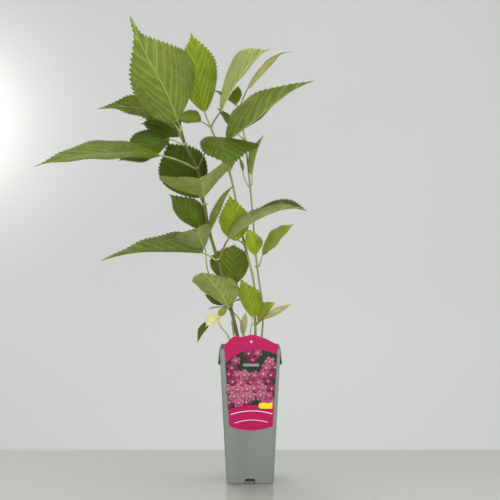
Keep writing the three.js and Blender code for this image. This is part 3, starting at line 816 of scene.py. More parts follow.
# %% Table of leaves
LEAF_TABLE = {
    "crown_leaf": dict(cane="main_cane", leaves=[
        ("leafy", "green", (260, 24, 26), (234, 44, 175, 52), (43, 13, 1.7), (80, 37, 0.9),
         (-0.04, -0.05), (0.12, 0.05, -0.12))]),
    "upper_left_leaves": dict(cane="main_cane", at=8, leaves=[
        ("mid", "green", (145, 61, 35), (178, 9, 122, 8), (25, -30, 0.6), (35, 18, 1.8),
         (0.14, 0), (0.07, 0.04, -0.02)),
        ("deep", "green", (168, 22, 25), (169, -22, 88, -70), (29, 8, 2.2), (24, 8, 2.2),
         (0.04, 0)),
        ("deep", "green", (116, 36, 24), (172, 22, 66, -40), (42, 10, 2.6), (27, 10, 2.2),
         (0.06, 0), (0.06, -0.10, 0))]),
    "far_left_pair": dict(cane="main_cane", at=7, leaves=[
        ("mid", "green", (208, 16, 63), (200, -7, 186, -19), (51, 8, 1.3), (50, 4, 1.2),
         (0.06, 0), (0.05, 0, 0)),
        ("deep", "red", (321, 52, 57), (283, -35, 100, -2), (31, -6, 3.2), (59, -5, 0.9),
         (0.15, 0), (0.04, 0.04, -0.09))]),
    "centre_pair": dict(cane="main_cane", at=6, leaves=[
        ("old", "green", (269, 53, 13), (272, 13, 101, 14), (65, 25, 1.9), (55, 29, 2.3),
         (0.03, 0), (0.04, 0, 0.05)),
        ("deep", "green", (112, 30, 22), (158, 57, 106, -70), (43, 30, 2.2), None, (0.04, 0))]),
    "small_upright_pair": dict(cane="main_cane", at=5, leaves=[
        ("mid", "green", (153, 7, 12), (155, 47, 79, -31), (27, 6, 1.7), (25, 5, 1.9),
         (0.08, -0.03), (0.06, -0.06, -0.04)),
        ("deep", "green", (288, 9, 13), (314, 61, 78, -11), (12, 49, 1), (23, 57, 2.3),
         (0.02, -0.07), (0.03, -0.12, -0.06))]),
    "broad_pair": dict(cane="main_cane", at=4, leaves=[
        ("mid", "green", (210, 22, 27), (168, -1, 162, -17), (51, 18, 0.9), (36, 18, 1.2),
         (0.02, 0), (0.03, -0.06, -0.02)),
        ("grey", "red", (315, 54, 37), (325, 17, 154, -37), (18, 58, 0.45), (25, 90, 2.4),
         (0.15, -0.02), (0.04, -0.09, 0.04))]),
    "low_centre_leaves": dict(cane="main_cane", at=2, leaves=[
        ("old", "green", (252, 6, 12), (229, 42, 77, 9), (43, 12, 3.4), (39, 3, 2.5),
         (0.06, 0), (0.03, 0, 0)),
        ("mid", "green", (83, 60, 33), (85, 64, 75, 0), (28, 15, 2.5), (35, 15, 2.5),
         (0.09, 0), (0.04, -0.06, 0)),
        ("spring", "green", (306, 31, 17), (338, 14, 17, 0), (4, 20, 2.2), None, (0, 0))]),
    "middle_tip_leaves": dict(cane="middle_cane", leaves=[
        ("spring", "green", (145, 64, 32), (120, 75, 132, -14), (31, 17, 3.2), (31, 11, 1.8),
         (0.04, -0.04), (0.05, 0, -0.04)),
        ("silver", "red", (342, 62, 31), (16, 55, 131, -20), (48, 17, 3), (23, 9, 2),
         (0.04, 0.03), (0.06, -0.04, -0.09)),
        ("spring", "red", (140, 33, 27), (159, 14, 48, -35), (20, 8, 2.2))]),
    "right_broad_leaf": dict(cane="middle_cane", at=4, leaves=[
        ("mid", "green", (270, 67, 48), (321, 32, 169, 1), (57, 5, 2.7), (30, 23, 1.8),
         (0, -0.06), (0.05, -0.11, -0.04))]),
    "round_leaf": dict(cane="middle_cane", at=3, leaves=[
        ("spring", "green", (226, 9, 18), (145, 80, 72, -28), (25.5, 5, 2), (25.5, 3, 1.7))]),
    "low_right_pair": dict(cane="middle_cane", at=1, leaves=[
        ("bright", "green", (304, 29, 8), (345, 47, 42, 30), (23, 10, 2.2)),
        ("pale", "green", (341, 33, 14), (353, 28, 53, -65), (6, 10, 2.2), None, (0.03, 0))]),
    "right_tip_leaves": dict(cane="right_cane", leaves=[
        ("pale", "green", (331, 70, 33), (317, 32, 109, 1), (5, 6, 1.7), (16, 9, 2.2),
         (0.11, -0.04), (0.09, -0.16, 0.11)),
        ("spring", "green", (131, 50, 16), (70, 71, 33, 0), (9, 10, 2.2), None, (0.03, 0)),
        ("mid", "red", (115, 32, 30), (135, 30, 52, 0), (17, 10, 2.2))]),
    "right_upper_leaf": dict(cane="right_cane", at=4, leaves=[
        ("mid", "green", (148, 35, 23), (156, 52, 49, -10), (14, 10, 2.2))]),
    "right_narrow_pair": dict(cane="right_cane", at=3, leaves=[
        ("mid", "green", (304, 74, 17), (332, 71, 64, 0), (12, 35, 2.2)),
        ("spring", "green", (200, 61, 24), (213, 73, 25, 0), (5, 20, 2.2), None, (0, 0))]),
    "right_lower_pair": dict(cane="right_cane", at=2, leaves=[
        ("bright", "green", (332, 64, 20), (339, 42, 70, 40), (24, 8, 2.2)),
        ("bright", "green", (255, 52, 22), (170, 74, 43, -30), (21, 8, 2.2), None, (0.04, 0))]),
    "thin_shoot_leaf": dict(cane="thin_shoot", leaves=[
        ("old", "green", (254, 36, 9), (266, 23, 76, 21), (35, 16, 2.2), (24, 28, 2.5),
         (0.07, 0.02), (0.07, 0.02, -0.04))]),
    "thin_shoot_pair": dict(cane="thin_shoot", at=3, leaves=[
        ("mid", "green", (160, 29, 6), (175, 30, 33, -35), (12, 10, 2.2), None, (0.04, 0)),
        ("cream", "green", (250, -4, 6), (204, -5, 29, 0), (7, 15, 2.2), None, (0.04, 0))]),
    "low_shoot_leaves": dict(cane="low_shoot", leaves=[
        ("deep", "green", (205, 2, 5), (219, -50, 47, 0), (10, 15, 2.2), None, (0.08, 0)),
        ("cream", "green", (292, 24, 11), (212, -34, 28, -30), (11, 15, 2.2)),
        ("bright", "green", (0, 45, 4), (19, 45, 18, 40), (7, 15, 2.2), None, (0, 0))]),
    "front_leaf": dict(cane="front_shoot", leaves=[
        ("spring", "green", (66, 38, 7), (143, 67, 65, 0), (28, 10, 2.2), None, (0.04, 0))]),
    "basal_leaves": dict(foot=(-20, 24, 183.9), leaves=[
        ("bright", "green", (200, 80, 30), (178, 80, 27, 0), (12, 15, 2.2), None, (0, 0)),
        ("cream", "green", (0, 73, 32), (60, 75, 39, 0), (6.5, 12, 2.2), None, (0.03, 0))]),
}
print("masses:", len(LEAF_TABLE), "leaves:", sum(len(m["leaves"]) for m in LEAF_TABLE.values()))

# %% [markdown]
# ## Dressing each mass
#
# Blades and stalks of a mass become two joined meshes, so each stays one kind of thing with its
# own finish. The collar is a low rounded ring, a little proud of the swollen node, with a small
# bud in the angle above each stalk.

# %% Build the foliage
COLLAR_HEIGHT = 3.2
COLLAR_WALL = 1.5
BUD_LENGTH = 7.0


def collar_shape(place, along, bore, sides=28):
    """A rounded ring round the cane: (points, faces), closed through its own bore."""
    profile = [(bore + COLLAR_WALL * (0.5 - 0.5 * math.cos(a)), COLLAR_HEIGHT / 2 * math.sin(a))
               for a in (2 * math.pi * k / 10 for k in range(10))]
    rings = [ring_at(place + along * up, along, r, sides) for r, up in profile]
    points = np.concatenate(rings)
    faces = []
    for i in range(10):
        for j in range(sides):
            a, b = i * sides + j, i * sides + (j + 1) % sides
            c, d = ((i + 1) % 10) * sides + (j + 1) % sides, ((i + 1) % 10) * sides + j
            faces.append((a, d, c, b))
    return points, faces


def bud_shape(foot, along, radius, length, sides=12):
    """A pointed bud as (points, faces)."""
    rings = []
    for k in range(9):
        t = k / 8
        r = radius * (0.9 + 0.35 * math.sin(math.pi * t)) * (1 - t ** 2.2) + 0.08
        rings.append(ring_at(foot + along * length * t, along, r, sides))
    return np.concatenate(rings), skin(rings)


def dress_mass(name, mass):
    blades, stalks = Gathered(), Gathered()
    if "foot" in mass:
        place, along, radius = vec(mass["foot"]), vec((0, 0, 1)), 1.6
    else:
        place, along, radius = cane_at(mass["cane"], mass.get("at", -1))
    round_cane = "at" in mass
    if round_cane:
        bore = (radius + GAP) / math.cos(math.pi / 10)
        stalks.add(*collar_shape(place, along, bore), 0)
    else:
        foot = place if "foot" in mass else place + along * GAP
        stalks.add(*bud_shape(foot, along, radius * 0.95, BUD_LENGTH), 0)
    for row in mass["leaves"]:
        leaf = Leaf(place, *row)
        toward = aim(leaf.stalk_turn, leaf.stalk_rise)
        if round_cane:
            across = unit(toward - along * np.dot(toward, along))
            start = place + across * (bore + COLLAR_WALL * 0.55)
            direction = unit(across * 0.6 + along * 0.8)
            bud = place + across * (bore + 1.0) + along * COLLAR_HEIGHT * 0.4
            stalks.add(*bud_shape(bud, unit(along + across * 0.5), 0.75, 3.4, 8), 0)
        else:
            start = foot + along * BUD_LENGTH * 0.3
            direction = unit(toward + along)
        rings = leaf.stalk_rings(start, direction)
        stalks.add(np.concatenate(rings), skin(rings), 1 if leaf.stalk_tint == "red" else 0)
        blades.add(*leaf.blade())
    blade_piece = blades.build("blades_" + name, LEAF_MATERIALS, with_uv=True)
    hand_over(blade_piece, "leaf", name)
    stalk_piece = stalks.build("stalks_" + name, [STALK_GREEN, STALK_RED])
    hand_over(stalk_piece, "leaf", name)


for mass_name, mass in LEAF_TABLE.items():
    dress_mass(mass_name, mass)

# %% [markdown]
# ## The pot
#
# The pot is a square tapered tub, moulded in one piece: thin walls, rounded corners, a flat foot
# with a drainage notch in the middle of each edge, and a slanting strap with a ledge on two
# sides, just under the rim. Rings of a rounded square are lofted into a tub, the notches and the
# inside are cut with booleans, and a fine bevel breaks every edge as a mould would.

# %% Pot
POT = dict(height=200.0, foot=70.0, rim=90.0, wall=1.6, floor=3.0, corner=5.0)
NOTCH = dict(foot=18.5, top=13.0, height=7.6, depth=6.0)
LUG = dict(length=62.0, top=197.0, foot=176.5, reach=2.6, strap=1.5, ledge=2.2)
TONGUE = dict(width=23.0, height=4.0, proud=2.6, level=177.0, shift=1.5)
CRISP_ANGLE = math.radians(32)


def wall_half(level):
    return POT["foot"] / 2 + (POT["rim"] - POT["foot"]) / 2 * level / POT["height"]


def square_ring(half, radius, level, steps=8):
    points = []
    for corner in range(4):
        middle = (corner * 2 + 1) * math.pi / 4
        cx = math.copysign(half - radius, math.cos(middle))
        cy = math.copysign(half - radius, math.sin(middle))
        for k in range(steps + 1):
            a = middle - math.pi / 4 + k * math.pi / 2 / steps
            points.append((cx + radius * math.cos(a), cy + radius * math.sin(a), level))
    return np.array(points)


def loft(name, sections):
    rings = [square_ring(*s) for s in sections]
    return make_mesh(name, np.concatenate(rings), skin(rings), [POT_PLASTIC])


def prism(name, outline, start, end, axis):
    """A closed prism: outline points in a plane, pushed from start to end along x or y."""
    rings = []
    for w in (start, end):
        rings.append(np.array([(w, u, v) if axis == "x" else (u, w, v) for u, v in outline]))
    return make_mesh(name, np.concatenate(rings), skin(rings), [POT_PLASTIC])


def apply_modifiers(obj):
    mesh = plain_mesh(obj, obj.name)
    obj.modifiers.clear()
    obj.data = mesh


def cut_or_join(body, tool, operation):
    edit_mesh(tool, face_outward)
    step = body.modifiers.new("step", "BOOLEAN")
    step.operation = operation
    step.solver = "EXACT"
    step.object = tool
    apply_modifiers(body)
    bpy.data.objects.remove(tool)


def build_pot():
    foot = wall_half(0)
    pot = loft("pot_body", [
        (foot - 0.8, POT["corner"], 0), (wall_half(0.8), POT["corner"], 0.8),
        (wall_half(195), POT["corner"], 195), (wall_half(200), POT["corner"], 200)])
    edit_mesh(pot, face_outward)
    low, top = wall_half(LUG["foot"]), wall_half(LUG["top"])
    outline = [(low - 0.6, LUG["foot"] - LUG["ledge"]),
               (low + LUG["reach"] + LUG["strap"], LUG["foot"]),
               (top + 0.9, LUG["top"] + 2), (top - 0.6, LUG["top"]),
               (top - 0.4, LUG["top"] - 1.5), (low + LUG["reach"], LUG["foot"] + 1.4),
               (low - 0.6, LUG["foot"])]
    for side in (1, -1):
        strap = prism("lug", [(side * u, v) for u, v in outline],
                      -LUG["length"] / 2, LUG["length"] / 2, "y")
        cut_or_join(pot, strap, "UNION")
    w, h = TONGUE["width"] / 2, TONGUE["height"] / 2
    face = -wall_half(TONGUE["level"])
    tongue = prism("tongue", [
        (TONGUE["shift"] - w, TONGUE["level"] - h), (TONGUE["shift"] + w, TONGUE["level"] - h),
        (TONGUE["shift"] + w, TONGUE["level"] + h), (TONGUE["shift"] - w, TONGUE["level"] + h)],
        face - TONGUE["proud"], face + 1.0, "y")
    cut_or_join(pot, tongue, "UNION")
    inset = POT["wall"]
    inside = loft("inside", [
        (wall_half(POT["floor"]) - inset, POT["corner"] - inset, POT["floor"]),
        (wall_half(205) - inset, POT["corner"] - inset, 205)])
    cut_or_join(pot, inside, "DIFFERENCE")
    shape = [(-NOTCH["foot"] / 2, -1), (NOTCH["foot"] / 2, -1),
             (NOTCH["top"] / 2, NOTCH["height"]), (-NOTCH["top"] / 2, NOTCH["height"])]
    for sign in (1, -1):
        for axis in ("x", "y"):
            far = sign * (foot + 2)
            near = sign * (foot + 2 - NOTCH["depth"])
            notch = prism("notch", shape, min(far, near), max(far, near), axis)
            cut_or_join(pot, notch, "DIFFERENCE")
    bevel = pot.modifiers.new("mould edges", "BEVEL")
    bevel.width = 0.35 * MM
    bevel.segments = 2
    bevel.angle_limit = math.radians(38)
    apply_modifiers(pot)
    edit_mesh(pot, smooth_by_angle)
    return pot


def smooth_by_angle(work):
    """Smooth faces, with the sharper edges kept crisp."""
    for edge in work.edges:
        edge.smooth = edge.is_manifold and edge.calc_face_angle(0) < CRISP_ANGLE
    for face in work.faces:
        face.smooth = True


pot = build_pot()
hand_over(pot, "pot_plastic", "pot")

# %% [markdown]
# ## The compost
#
# The compost fills the pot to about a finger's width under the rim. Its top is uneven and
# crumbly. A block with a noisy top gives the level, and Geometry Nodes scatter crumbs of two
# kinds over it, dark peat and paler fibre, because no two crumbs should look placed by hand.

# %% Compost
SOIL_TOP = 183.5


def build_soil():
    rng = np.random.default_rng(5)
    cells = 46
    half_top = wall_half(SOIL_TOP) - POT["wall"] - GAP
    half_low = wall_half(POT["floor"] + GAP) - POT["wall"] - GAP
    rough = rng.normal(0, 1, (cells + 1, cells + 1))
    for _ in range(2):
        rough[1:-1, 1:-1] = (rough[1:-1, 1:-1] + rough[:-2, 1:-1] + rough[2:, 1:-1]
                             + rough[1:-1, :-2] + rough[1:-1, 2:]) / 3.2
    points, faces = [], []
    for i in range(cells + 1):
        for j in range(cells + 1):
            x = (2 * i / cells - 1) * half_top
            y = (2 * j / cells - 1) * half_top
            points.append((x, y, SOIL_TOP + min(0.3, 0.55 * rough[i, j] - 0.5)))
    wide = cells + 1
    for i in range(cells):
        for j in range(cells):
            a = i * wide + j
            faces.append((a, a + wide, a + wide + 1, a + 1))
    edge = ([(i, 0) for i in range(cells)] + [(cells, j) for j in range(cells)]
            + [(i, cells) for i in range(cells, 0, -1)] + [(0, j) for j in range(cells, 0, -1)])
    start = len(points)
    for i, j in edge:
        x = (2 * i / cells - 1) * half_low
        y = (2 * j / cells - 1) * half_low
        points.append((x, y, POT["floor"] + GAP))
    count = len(edge)
    for k in range(count):
        n = (k + 1) % count
        a, b = edge[k][0] * wide + edge[k][1], edge[n][0] * wide + edge[n][1]
        faces.append((a, b, start + n, start + k))
    faces.append(tuple(start + k for k in reversed(range(count))))
    obj = make_mesh("compost_bed", points, faces, [COMPOST])
    edit_mesh(obj, face_outward)
    return obj, cells * cells


def top_only(obj, count):
    """A copy of the first faces of a mesh, to scatter on."""
    mesh = obj.data
    faces = [tuple(mesh.polygons[k].vertices) for k in range(count)]
    points = np.array([tuple(v.co) for v in mesh.vertices]) / MM
    inner = points * (0.955, 0.955, 1.0)
    return make_mesh("scatter_top", inner, faces, [COMPOST])


soil, top_faces = build_soil()
CRUMB_TREE = build_scatter("Crumbs on compost", (1.0, 0.8, 0.7))
surface = top_only(soil, top_faces)
dark = scatter_on(surface, CRUMB_TREE, "compost_crumbs", COMPOST, 190000, 0.0004, 0.0013, 4)
pale = scatter_on(surface, CRUMB_TREE, "compost_fibres", CRUMB_PALE, 36000, 0.0003, 0.0009, 9)
bpy.data.objects.remove(surface)
for piece in (soil, dark, pale):
    hand_over(piece, "soil", "potting_soil")

# %% [markdown]
# ## The label's card
#
# The label is a stiff printed card that hangs on a tongue of the pot and leans with its front
# wall. The card is cut with a crested top, straight tapering sides and a shallow curve below,
# and has a punched hole near the crest. It is drawn flat, as a printer would, and leaned back
# at the end by the wall's own slope.

# %% Label card
CARD = dict(thick=0.6, shift=1.5, foot=32.0, shoulder=39.4, low=86.0, sag=6.0, high=207.0)
CARD_CREST = [(18.3, 217), (2.3, 221.6), (-15.5, 218.3), (-18.8, 219.6), (-27.2, 218),
              (-34, 211.2)]
CARD_HOLE = dict(radius=1.7, across=0.3, level=211.2)
CARD_SLOT = dict(width=24.2, height=5.2)


def print_finish(name, colour):
    material, tree, shader = new_material(name, 0.38, Specular_IOR_Level=0.16)
    grain = place_mottle(tree, 420.0, detail=2.0)
    tree.links.new(mix_colour(tree, ramp_node(tree, grain, 0.3, 0.7),
                              tuple(c * 0.94 for c in colour), colour),
                   shader.inputs["Base Color"])
    place_bump(tree, shader, place_mottle(tree, 30.0, detail=1.0), 0.12, 0.0004)
    return material


CARD_MAGENTA = print_finish("card_magenta", (0.385, 0.003, 0.078))
CARD_DARK = print_finish("card_leaf_green_dark", (0.010, 0.024, 0.009))
CARD_GREEN = print_finish("card_leaf_green", (0.038, 0.088, 0.024))
CARD_PINKS = [print_finish("card_floret_deep", (0.21, 0.022, 0.070)),
              print_finish("card_floret_mid", (0.36, 0.062, 0.135)),
              print_finish("card_floret_pale", (0.50, 0.150, 0.235))]
CARD_TONES = [print_finish("card_petal_deep", (0.28, 0.036, 0.100)),
              print_finish("card_petal_mid", (0.42, 0.095, 0.175)),
              print_finish("card_petal_pale", (0.40, 0.090, 0.165))]
CARD_CENTRE = print_finish("card_centre", (0.62, 0.42, 0.36))
CARD_YELLOW = print_finish("card_yellow", (0.80, 0.60, 0.008))
CARD_WHITE = print_finish("card_white", (0.80, 0.78, 0.78))


def card_outline():
    """A shallow curve below, straight sides and a smooth crest."""
    low = [(-CARD["foot"] + 2 * CARD["foot"] * t, CARD["low"] - CARD["sag"] * 4 * t * (1 - t))
           for t in (k / 24 for k in range(25))]
    crest = [(CARD["shoulder"], CARD["high"])] + CARD_CREST + [(-CARD["shoulder"], CARD["high"])]
    crest = [(x, 0, z) for x, z in crest]
    return low + [tuple(curve_point(crest, k / 48)[0][[0, 2]]) for k in range(49)]


def flat_shape(name, outline, holes, near, far, material):
    """One piece of the label: a flat plate from an outline with holes, between two depths."""
    data = bpy.data.curves.new(name, "CURVE")
    data.dimensions = "2D"
    data.fill_mode = "BOTH"
    data.extrude = abs(far - near) / 2 * MM
    for path in [outline] + holes:
        spline = data.splines.new("POLY")
        spline.points.add(len(path) - 1)
        spline.use_cyclic_u = True
        for point, (x, y) in zip(spline.points, path):
            point.co = (x * MM, y * MM, 0, 1)
    flat = link_new(name, data)
    mesh = plain_mesh(flat, name)
    bpy.data.objects.remove(flat)
    mesh.materials.clear()
    mesh.materials.append(material)
    lean(mesh, (near + far) / 2)
    obj = link_new(name, mesh)
    edit_mesh(obj, close_plate)
    hand_over(obj, "label_card", "plant_label")


def lean(mesh, depth):
    """Stands a flat drawing up on the wall: x across, y to height, z to depth."""
    for vertex in mesh.vertices:
        x, z, out = vertex.co
        back = -wall_half(z / MM) - GAP - depth
        vertex.co = (x + CARD["shift"] * MM, back * MM - out, z)


def close_plate(work):
    """Joins a plate's faces to its edge, and keeps it flat."""
    bmesh.ops.remove_doubles(work, verts=work.verts, dist=1e-7)
    face_outward(work)
    for face in work.faces:
        face.smooth = False


def circle(x, y, radius, count=32):
    return [(x + radius * math.cos(2 * math.pi * k / count),
             y + radius * math.sin(2 * math.pi * k / count)) for k in range(count)]


def slot_hole(extra=0.0):
    w, h = CARD_SLOT["width"] / 2 + extra, CARD_SLOT["height"] / 2 + extra
    z = TONGUE["level"]
    return [(-w, z - h), (w, z - h), (w, z + h), (-w, z + h)]


flat_shape("label_card", card_outline(),
           [circle(CARD_HOLE["across"], CARD_HOLE["level"], CARD_HOLE["radius"]), slot_hole()],
           0.0, CARD["thick"], CARD_MAGENTA)

# %% [markdown]
# ## The printed picture
#
# A real label shows the plant in bloom. This one is a plain pattern of its own: open blossoms
# with five round petals, scattered in three pinks with pale centres over a few leaf shapes on a
# dark ground. Each ink is a thin plate a few hundredths of a millimetre proud of the last, so
# that the colours stay crisp. Geometry Nodes set the blossoms, because they repeat.

# %% Picture ground and leaves
INK = 0.05
PICTURE_TOP = [(-39, 179), (-17.5, 194.5), (6, 200), (24, 197.5), (41, 192)]
PICTURE_LOW = [(-33, 111), (-15, 116), (5, 117.5), (36, 113)]


def clip_side(z, inset=0.0):
    """The card's half width at a height, less an inset."""
    part = (z - CARD["low"]) / (CARD["high"] - CARD["low"])
    return CARD["foot"] + (CARD["shoulder"] - CARD["foot"]) * part - inset


def smooth_line(corners):
    line = [curve_point([(x, 0, z) for x, z in corners], k / 24)[0] for k in range(25)]
    return np.array([p[0] for p in line]), np.array([p[2] for p in line])


TOP_LINE, LOW_LINE = smooth_line(PICTURE_TOP), smooth_line(PICTURE_LOW)


def picture_edge(line, x):
    """The height of the picture's upper or lower edge at x."""
    return float(np.interp(x, *line))


def ground_outline():
    """The dark picture ground, bounded above and below by shallow curves."""
    points = []
    for line, start, end in ((LOW_LINE, -34, 34), (TOP_LINE, 39, -39)):
        for k in range(21):
            x = start + (end - start) * k / 20
            z = picture_edge(line, x)
            points.append((max(-clip_side(z), min(clip_side(z), x)), z))
    return points


flat_shape("label_ground", ground_outline(), [slot_hole(0.05)],
           CARD["thick"], CARD["thick"] + INK, CARD_DARK)


def leaf_outline(x, z, length, width, turn):
    a = math.radians(turn)
    sides = [(1, k / 12) for k in range(13)] + [(-1, k / 12) for k in range(11, 0, -1)]
    points = [(t * length, sign * half_width(t, 2.2) * width / 2) for sign, t in sides]
    return [(x + u * math.cos(a) - v * math.sin(a), z + u * math.sin(a) + v * math.cos(a))
            for u, v in points]


for number, spec in enumerate([(22, 168, 22, 12, 70), (-2, 152, 24, 12, 120),
                               (10, 134, 22, 11, -15), (-20, 142, 20, 11, 200),
                               (-4, 126, 20, 10, 170), (16, 160, 20, 10, 10)]):
    flat_shape(f"label_leaf_{number}", leaf_outline(*spec), [],
               CARD["thick"] + INK, CARD["thick"] + 2 * INK, CARD_GREEN)

# %% [markdown]
# ## The blossoms
#
# The head of a hydrangea is a cloud of flowers that are all alike, so one flat flower is drawn and
# a Geometry Nodes tree sets it on many places, each turned and sized a little differently. The
# places lie in staggered rows with some play, and keep clear of the slot for the tongue.

# %% Blossoms by Geometry Nodes
def flat_flower(name, material, radius, petals, notch, count=40):
    """A flat flower with round petals, or a disc where notch is zero."""
    angles = [2 * math.pi * k / count for k in range(count)]
    spread = [radius * (1 - notch + notch * abs(math.cos(petals * a / 2)) ** 0.7) for a in angles]
    rings = [[(r * math.cos(a), r * math.sin(a), w) for r, a in zip(spread, angles)]
             for w in (0.0, INK)]
    return make_mesh(name, np.concatenate(rings), skin(rings), [material])


def build_flower_tree():
    """A flower on each point, of random size and turn."""
    tree, inside, out = begin_tree("Flowers on points", [("Flower", "Object")])
    source = add_node(tree, "GeometryNodeObjectInfo")
    points = add_node(tree, "GeometryNodeMeshToPoints")
    turn = add_node(tree, "FunctionNodeRandomValue", props={"data_type": "FLOAT_VECTOR"},
                    values={0: (0, 0, 0), 1: (0, 0, math.tau)})
    place = add_node(tree, "GeometryNodeInstanceOnPoints")
    join = tree.links.new
    join(inside.outputs["Geometry"], points.inputs["Mesh"])
    join(points.outputs["Points"], place.inputs["Points"])
    join(inside.outputs["Flower"], source.inputs["Object"])
    join(source.outputs["Geometry"], place.inputs["Instance"])
    join(inside.outputs["Seed"], turn.inputs["Seed"])
    join(random_size(tree, inside), place.inputs["Scale"])
    join(turn.outputs[0], place.inputs["Rotation"])
    return end_tree(tree, inside, out, place.outputs["Instances"])


FLOWER_TREE = build_flower_tree()


def scattered(pitch, rng):
    """Places for blossoms in staggered rows over the picture, each a little out of line."""
    places = []
    row, z = 0, 121.0
    while z < 194:
        x = -clip_side(z) + 3 + (pitch / 2 if row % 2 else 0)
        while x < clip_side(z) - 2:
            place = (x + rng.uniform(-1.6, 1.6), z + rng.uniform(-1.4, 1.4))
            low = picture_edge(LOW_LINE, place[0]) + 4
            high = picture_edge(TOP_LINE, place[0]) - 4
            beside = (abs(place[1] - TONGUE["level"]) >= 7
                      or abs(place[0]) >= CARD_SLOT["width"] / 2 + 3)
            if low < place[1] < high and beside:
                places.append(place)
            x += pitch
        row += 1
        z += pitch * 0.82
    return places


def print_flowers(name, places, material, radius, petals, notch, depth, seed):
    cloud = make_mesh("cloud", [(x, z, 0.0) for x, z in places], [], [])
    flower = flat_flower("flower", material, radius, petals, notch)
    mesh = run_tree(cloud, FLOWER_TREE, name, Flower=flower, Smallest=0.85, Largest=1.12,
                    Seed=seed, Material=material)
    bpy.data.objects.remove(cloud)
    bpy.data.objects.remove(flower)
    for vertex in mesh.vertices:
        x, z, out = vertex.co[0] / MM, vertex.co[1] / MM, vertex.co[2]
        z = max(picture_edge(LOW_LINE, x), min(picture_edge(TOP_LINE, x), z))
        x = max(-clip_side(z, 0.1), min(clip_side(z, 0.1), x))
        back = (-wall_half(z) - GAP - depth) * MM - out
        vertex.co = ((x + CARD["shift"]) * MM, back, z * MM)
    obj = link_new(name, mesh)
    edit_mesh(obj, face_outward)
    hand_over(obj, "label_card", "plant_label")


PETALS = 5
PITCH = 12.6
picks = random.Random(21)
places = scattered(PITCH, picks)
picks.shuffle(places)
layers = [places[k::3] for k in range(3)]
for number, layer in enumerate(layers):
    depth = CARD["thick"] + (2 + 2 * number) * INK
    print_flowers(f"label_blossoms_{number}", layer, CARD_PINKS[number], 8.0, PETALS, 0.42,
                  depth, 3 + number)
    print_flowers(f"label_petals_{number}", layer, CARD_TONES[number], 5.4, PETALS, 0.55,
                  depth + INK, 3 + number)
    print_flowers(f"label_centres_{number}", layer, CARD_CENTRE, 1.2, 1, 0.0,
                  depth + 1.6 * INK, 3 + number)
print("blossoms on the label:", len(places))

# %% [markdown]
# ## Band and lines
#
# Labels of this kind have a band and rules in plain ink. Here they stand alone, with no lettering:
# a yellow band with one rounded end, and two shallow white curves that follow the lower edge. Each
# is a thin plate cut from an outline, like the other inks, so its edges stay sharp.

# %% Yellow band and white lines
def band_outline(x0, x1, z, height, tilt, bend):
    middle = [(x0 + (x1 - x0) * t, z + tilt * t + bend * 4 * t * (1 - t))
              for t in (k / 20 for k in range(21))]
    return ([(x, mid - height / 2) for x, mid in middle]
            + [(x, mid + height / 2) for x, mid in reversed(middle)])


def pill_outline(x0, x1, z, height):
    """A band with one rounded end, on the left."""
    radius = height / 2
    return [(x1, z - radius), (x1, z + radius)] + [
        (x0 + radius + radius * math.cos(a), z + radius * math.sin(a))
        for a in (math.pi / 2 + math.pi * k / 16 for k in range(17))]


for label, outline, ink in (
        ("label_band", pill_outline(11.0, 31.5, 116.5, 8.0), CARD_YELLOW),
        ("label_line", band_outline(-30.0, 31.5, 103.5, 0.9, 1.0, 5.0), CARD_WHITE),
        ("label_line_low", band_outline(-24.0, 25.0, 91.0, 0.7, 1.0, 4.0), CARD_WHITE)):
    flat_shape(label, outline, [], CARD["thick"], CARD["thick"] + 9 * INK, ink)

# %% [markdown]
# ## Floor, light and camera
#
# The plant stands on a pale table in front of a pale wall, in broad soft light that comes mostly
# from the left, as from a large window, with one lamp that brightens the wall on that side. A
# curved sheet lower down is floor and wall in one. The camera is level, at the height of the
# middle of the leaves, with a short telephoto lens that keeps the pot's sides nearly upright.

# %% Stage
TABLE = dict(half=1.6, front=-1.5, back=0.22, thick=0.03)
WALL_FOOT = -0.75


def build_table():
    material, tree, shader = new_material("table_top", 0.18, Specular_IOR_Level=0.10)
    cloud = place_mottle(tree, 2.5, detail=2.0)
    tree.links.new(mix_colour(tree, cloud, (0.675, 0.685, 0.622), (0.710, 0.720, 0.660)),
                   shader.inputs["Base Color"])
    x, front, back, low = TABLE["half"], TABLE["front"], TABLE["back"], -TABLE["thick"]
    corners = ((-x, front), (x, front), (x, back), (-x, back))
    points = [(cx / MM, y / MM, z / MM) for z in (low, 0) for cx, y in corners]
    faces = [(3, 2, 1, 0), (4, 5, 6, 7), (0, 1, 5, 4), (1, 2, 6, 5), (2, 3, 7, 6), (3, 0, 4, 7)]
    return make_mesh("stage_table", points, faces, [material])


def build_wall():
    """Floor and wall in one curved sheet, lower than the table and well behind it."""
    material, tree, shader = new_material("stage_paper", 0.9)
    cloud = place_mottle(tree, 0.8, detail=1.0)
    tree.links.new(mix_colour(tree, cloud, (0.68, 0.690, 0.665), (0.73, 0.740, 0.715)),
                   shader.inputs["Base Color"])
    rows = [(-3.2, 0.0)]
    rows += [(1.8 + 1.2 * math.sin(a), 1.2 - 1.2 * math.cos(a))
             for a in np.linspace(0, math.pi / 2, 16)]
    rows.append((3.0, 4.5))
    points = [(x / MM, y / MM, (z + WALL_FOOT) / MM) for y, z in rows for x in (-4.5, 4.5)]
    faces = [(2 * k, 2 * k + 1, 2 * k + 3, 2 * k + 2) for k in range(len(rows) - 1)]
    return make_mesh("stage_wall", points, faces, [material])


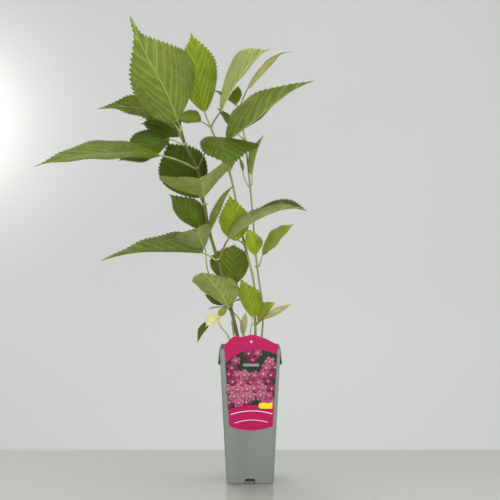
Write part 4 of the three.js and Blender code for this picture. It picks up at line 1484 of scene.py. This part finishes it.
def area_light(name, place, target, size, energy):
    data = bpy.data.lights.new(name, "AREA")
    data.shape = "RECTANGLE"
    data.size, data.size_y = size
    data.energy = energy
    light = link_new(name, data)
    light.location = place
    light.rotation_euler = (Vector(target) - Vector(place)).to_track_quat("-Z", "Y").to_euler()
    light.visible_camera = False
    return light


stage_parts = [build_table(), build_wall()]
lights = [
    area_light("window_left", (-2.2, -0.9, 0.9), (0, 0, 0.4), (1.8, 1.8), 28),
    area_light("top_soft", (0.2, -0.4, 2.3), (0, 0, 0.3), (3.0, 2.6), 21),
    area_light("window_right", (2.3, -0.6, 1.1), (0, 0, 0.3), (1.8, 1.8), 18),
    area_light("front_fill", (0.9, -2.6, 0.75), (0, 0, 0.35), (2.4, 2.0), 46),
    area_light("low_bounce", (0.0, -1.0, 0.04), (0, -0.2, 0.6), (2.0, 0.7), 6),
    area_light("back_glow", (-0.8, 1.6, 1.9), (-0.1, 0, 0.5), (1.6, 1.2), 14),
    area_light("wall_light", (-1.42, 2.62, 0.93), (-1.40, 3.0, 0.93), (0.25, 0.2), 2.6),
    area_light("wall_wash", (0.6, 0.9, 2.6), (0.2, 3.0, 0.4), (2.0, 0.6), 6),
]
world = bpy.data.worlds.new("soft_room")
world.use_nodes = True
room = world.node_tree.nodes["Background"].inputs
room["Color"].default_value, room["Strength"].default_value = (0.80, 0.83, 0.84, 1), 0.46
bpy.context.scene.world = world
bpy.context.scene.view_settings.view_transform = "Standard"

# %% [markdown]
# ## Camera
#
# A longer lens from farther off shows the plant with little perspective. The focal length in
# pixels and the picture's width give the lens in millimetres. The camera is level, so upright
# edges stay upright.

# %% Camera
FOCAL_PIXELS, IMAGE_SIZE = 1016.0, 500.0
SENSOR = 36.0
EYE = (0.0, -1.538, 0.346)
camera_data = bpy.data.cameras.new("camera")
camera_data.sensor_width = SENSOR
camera_data.lens = FOCAL_PIXELS / IMAGE_SIZE * SENSOR
camera = link_new("camera", camera_data)
camera.location = EYE
camera.rotation_euler = (math.pi / 2, 0, 0)
bpy.context.scene.camera = camera
print("lens", round(camera_data.lens, 2), "mm")
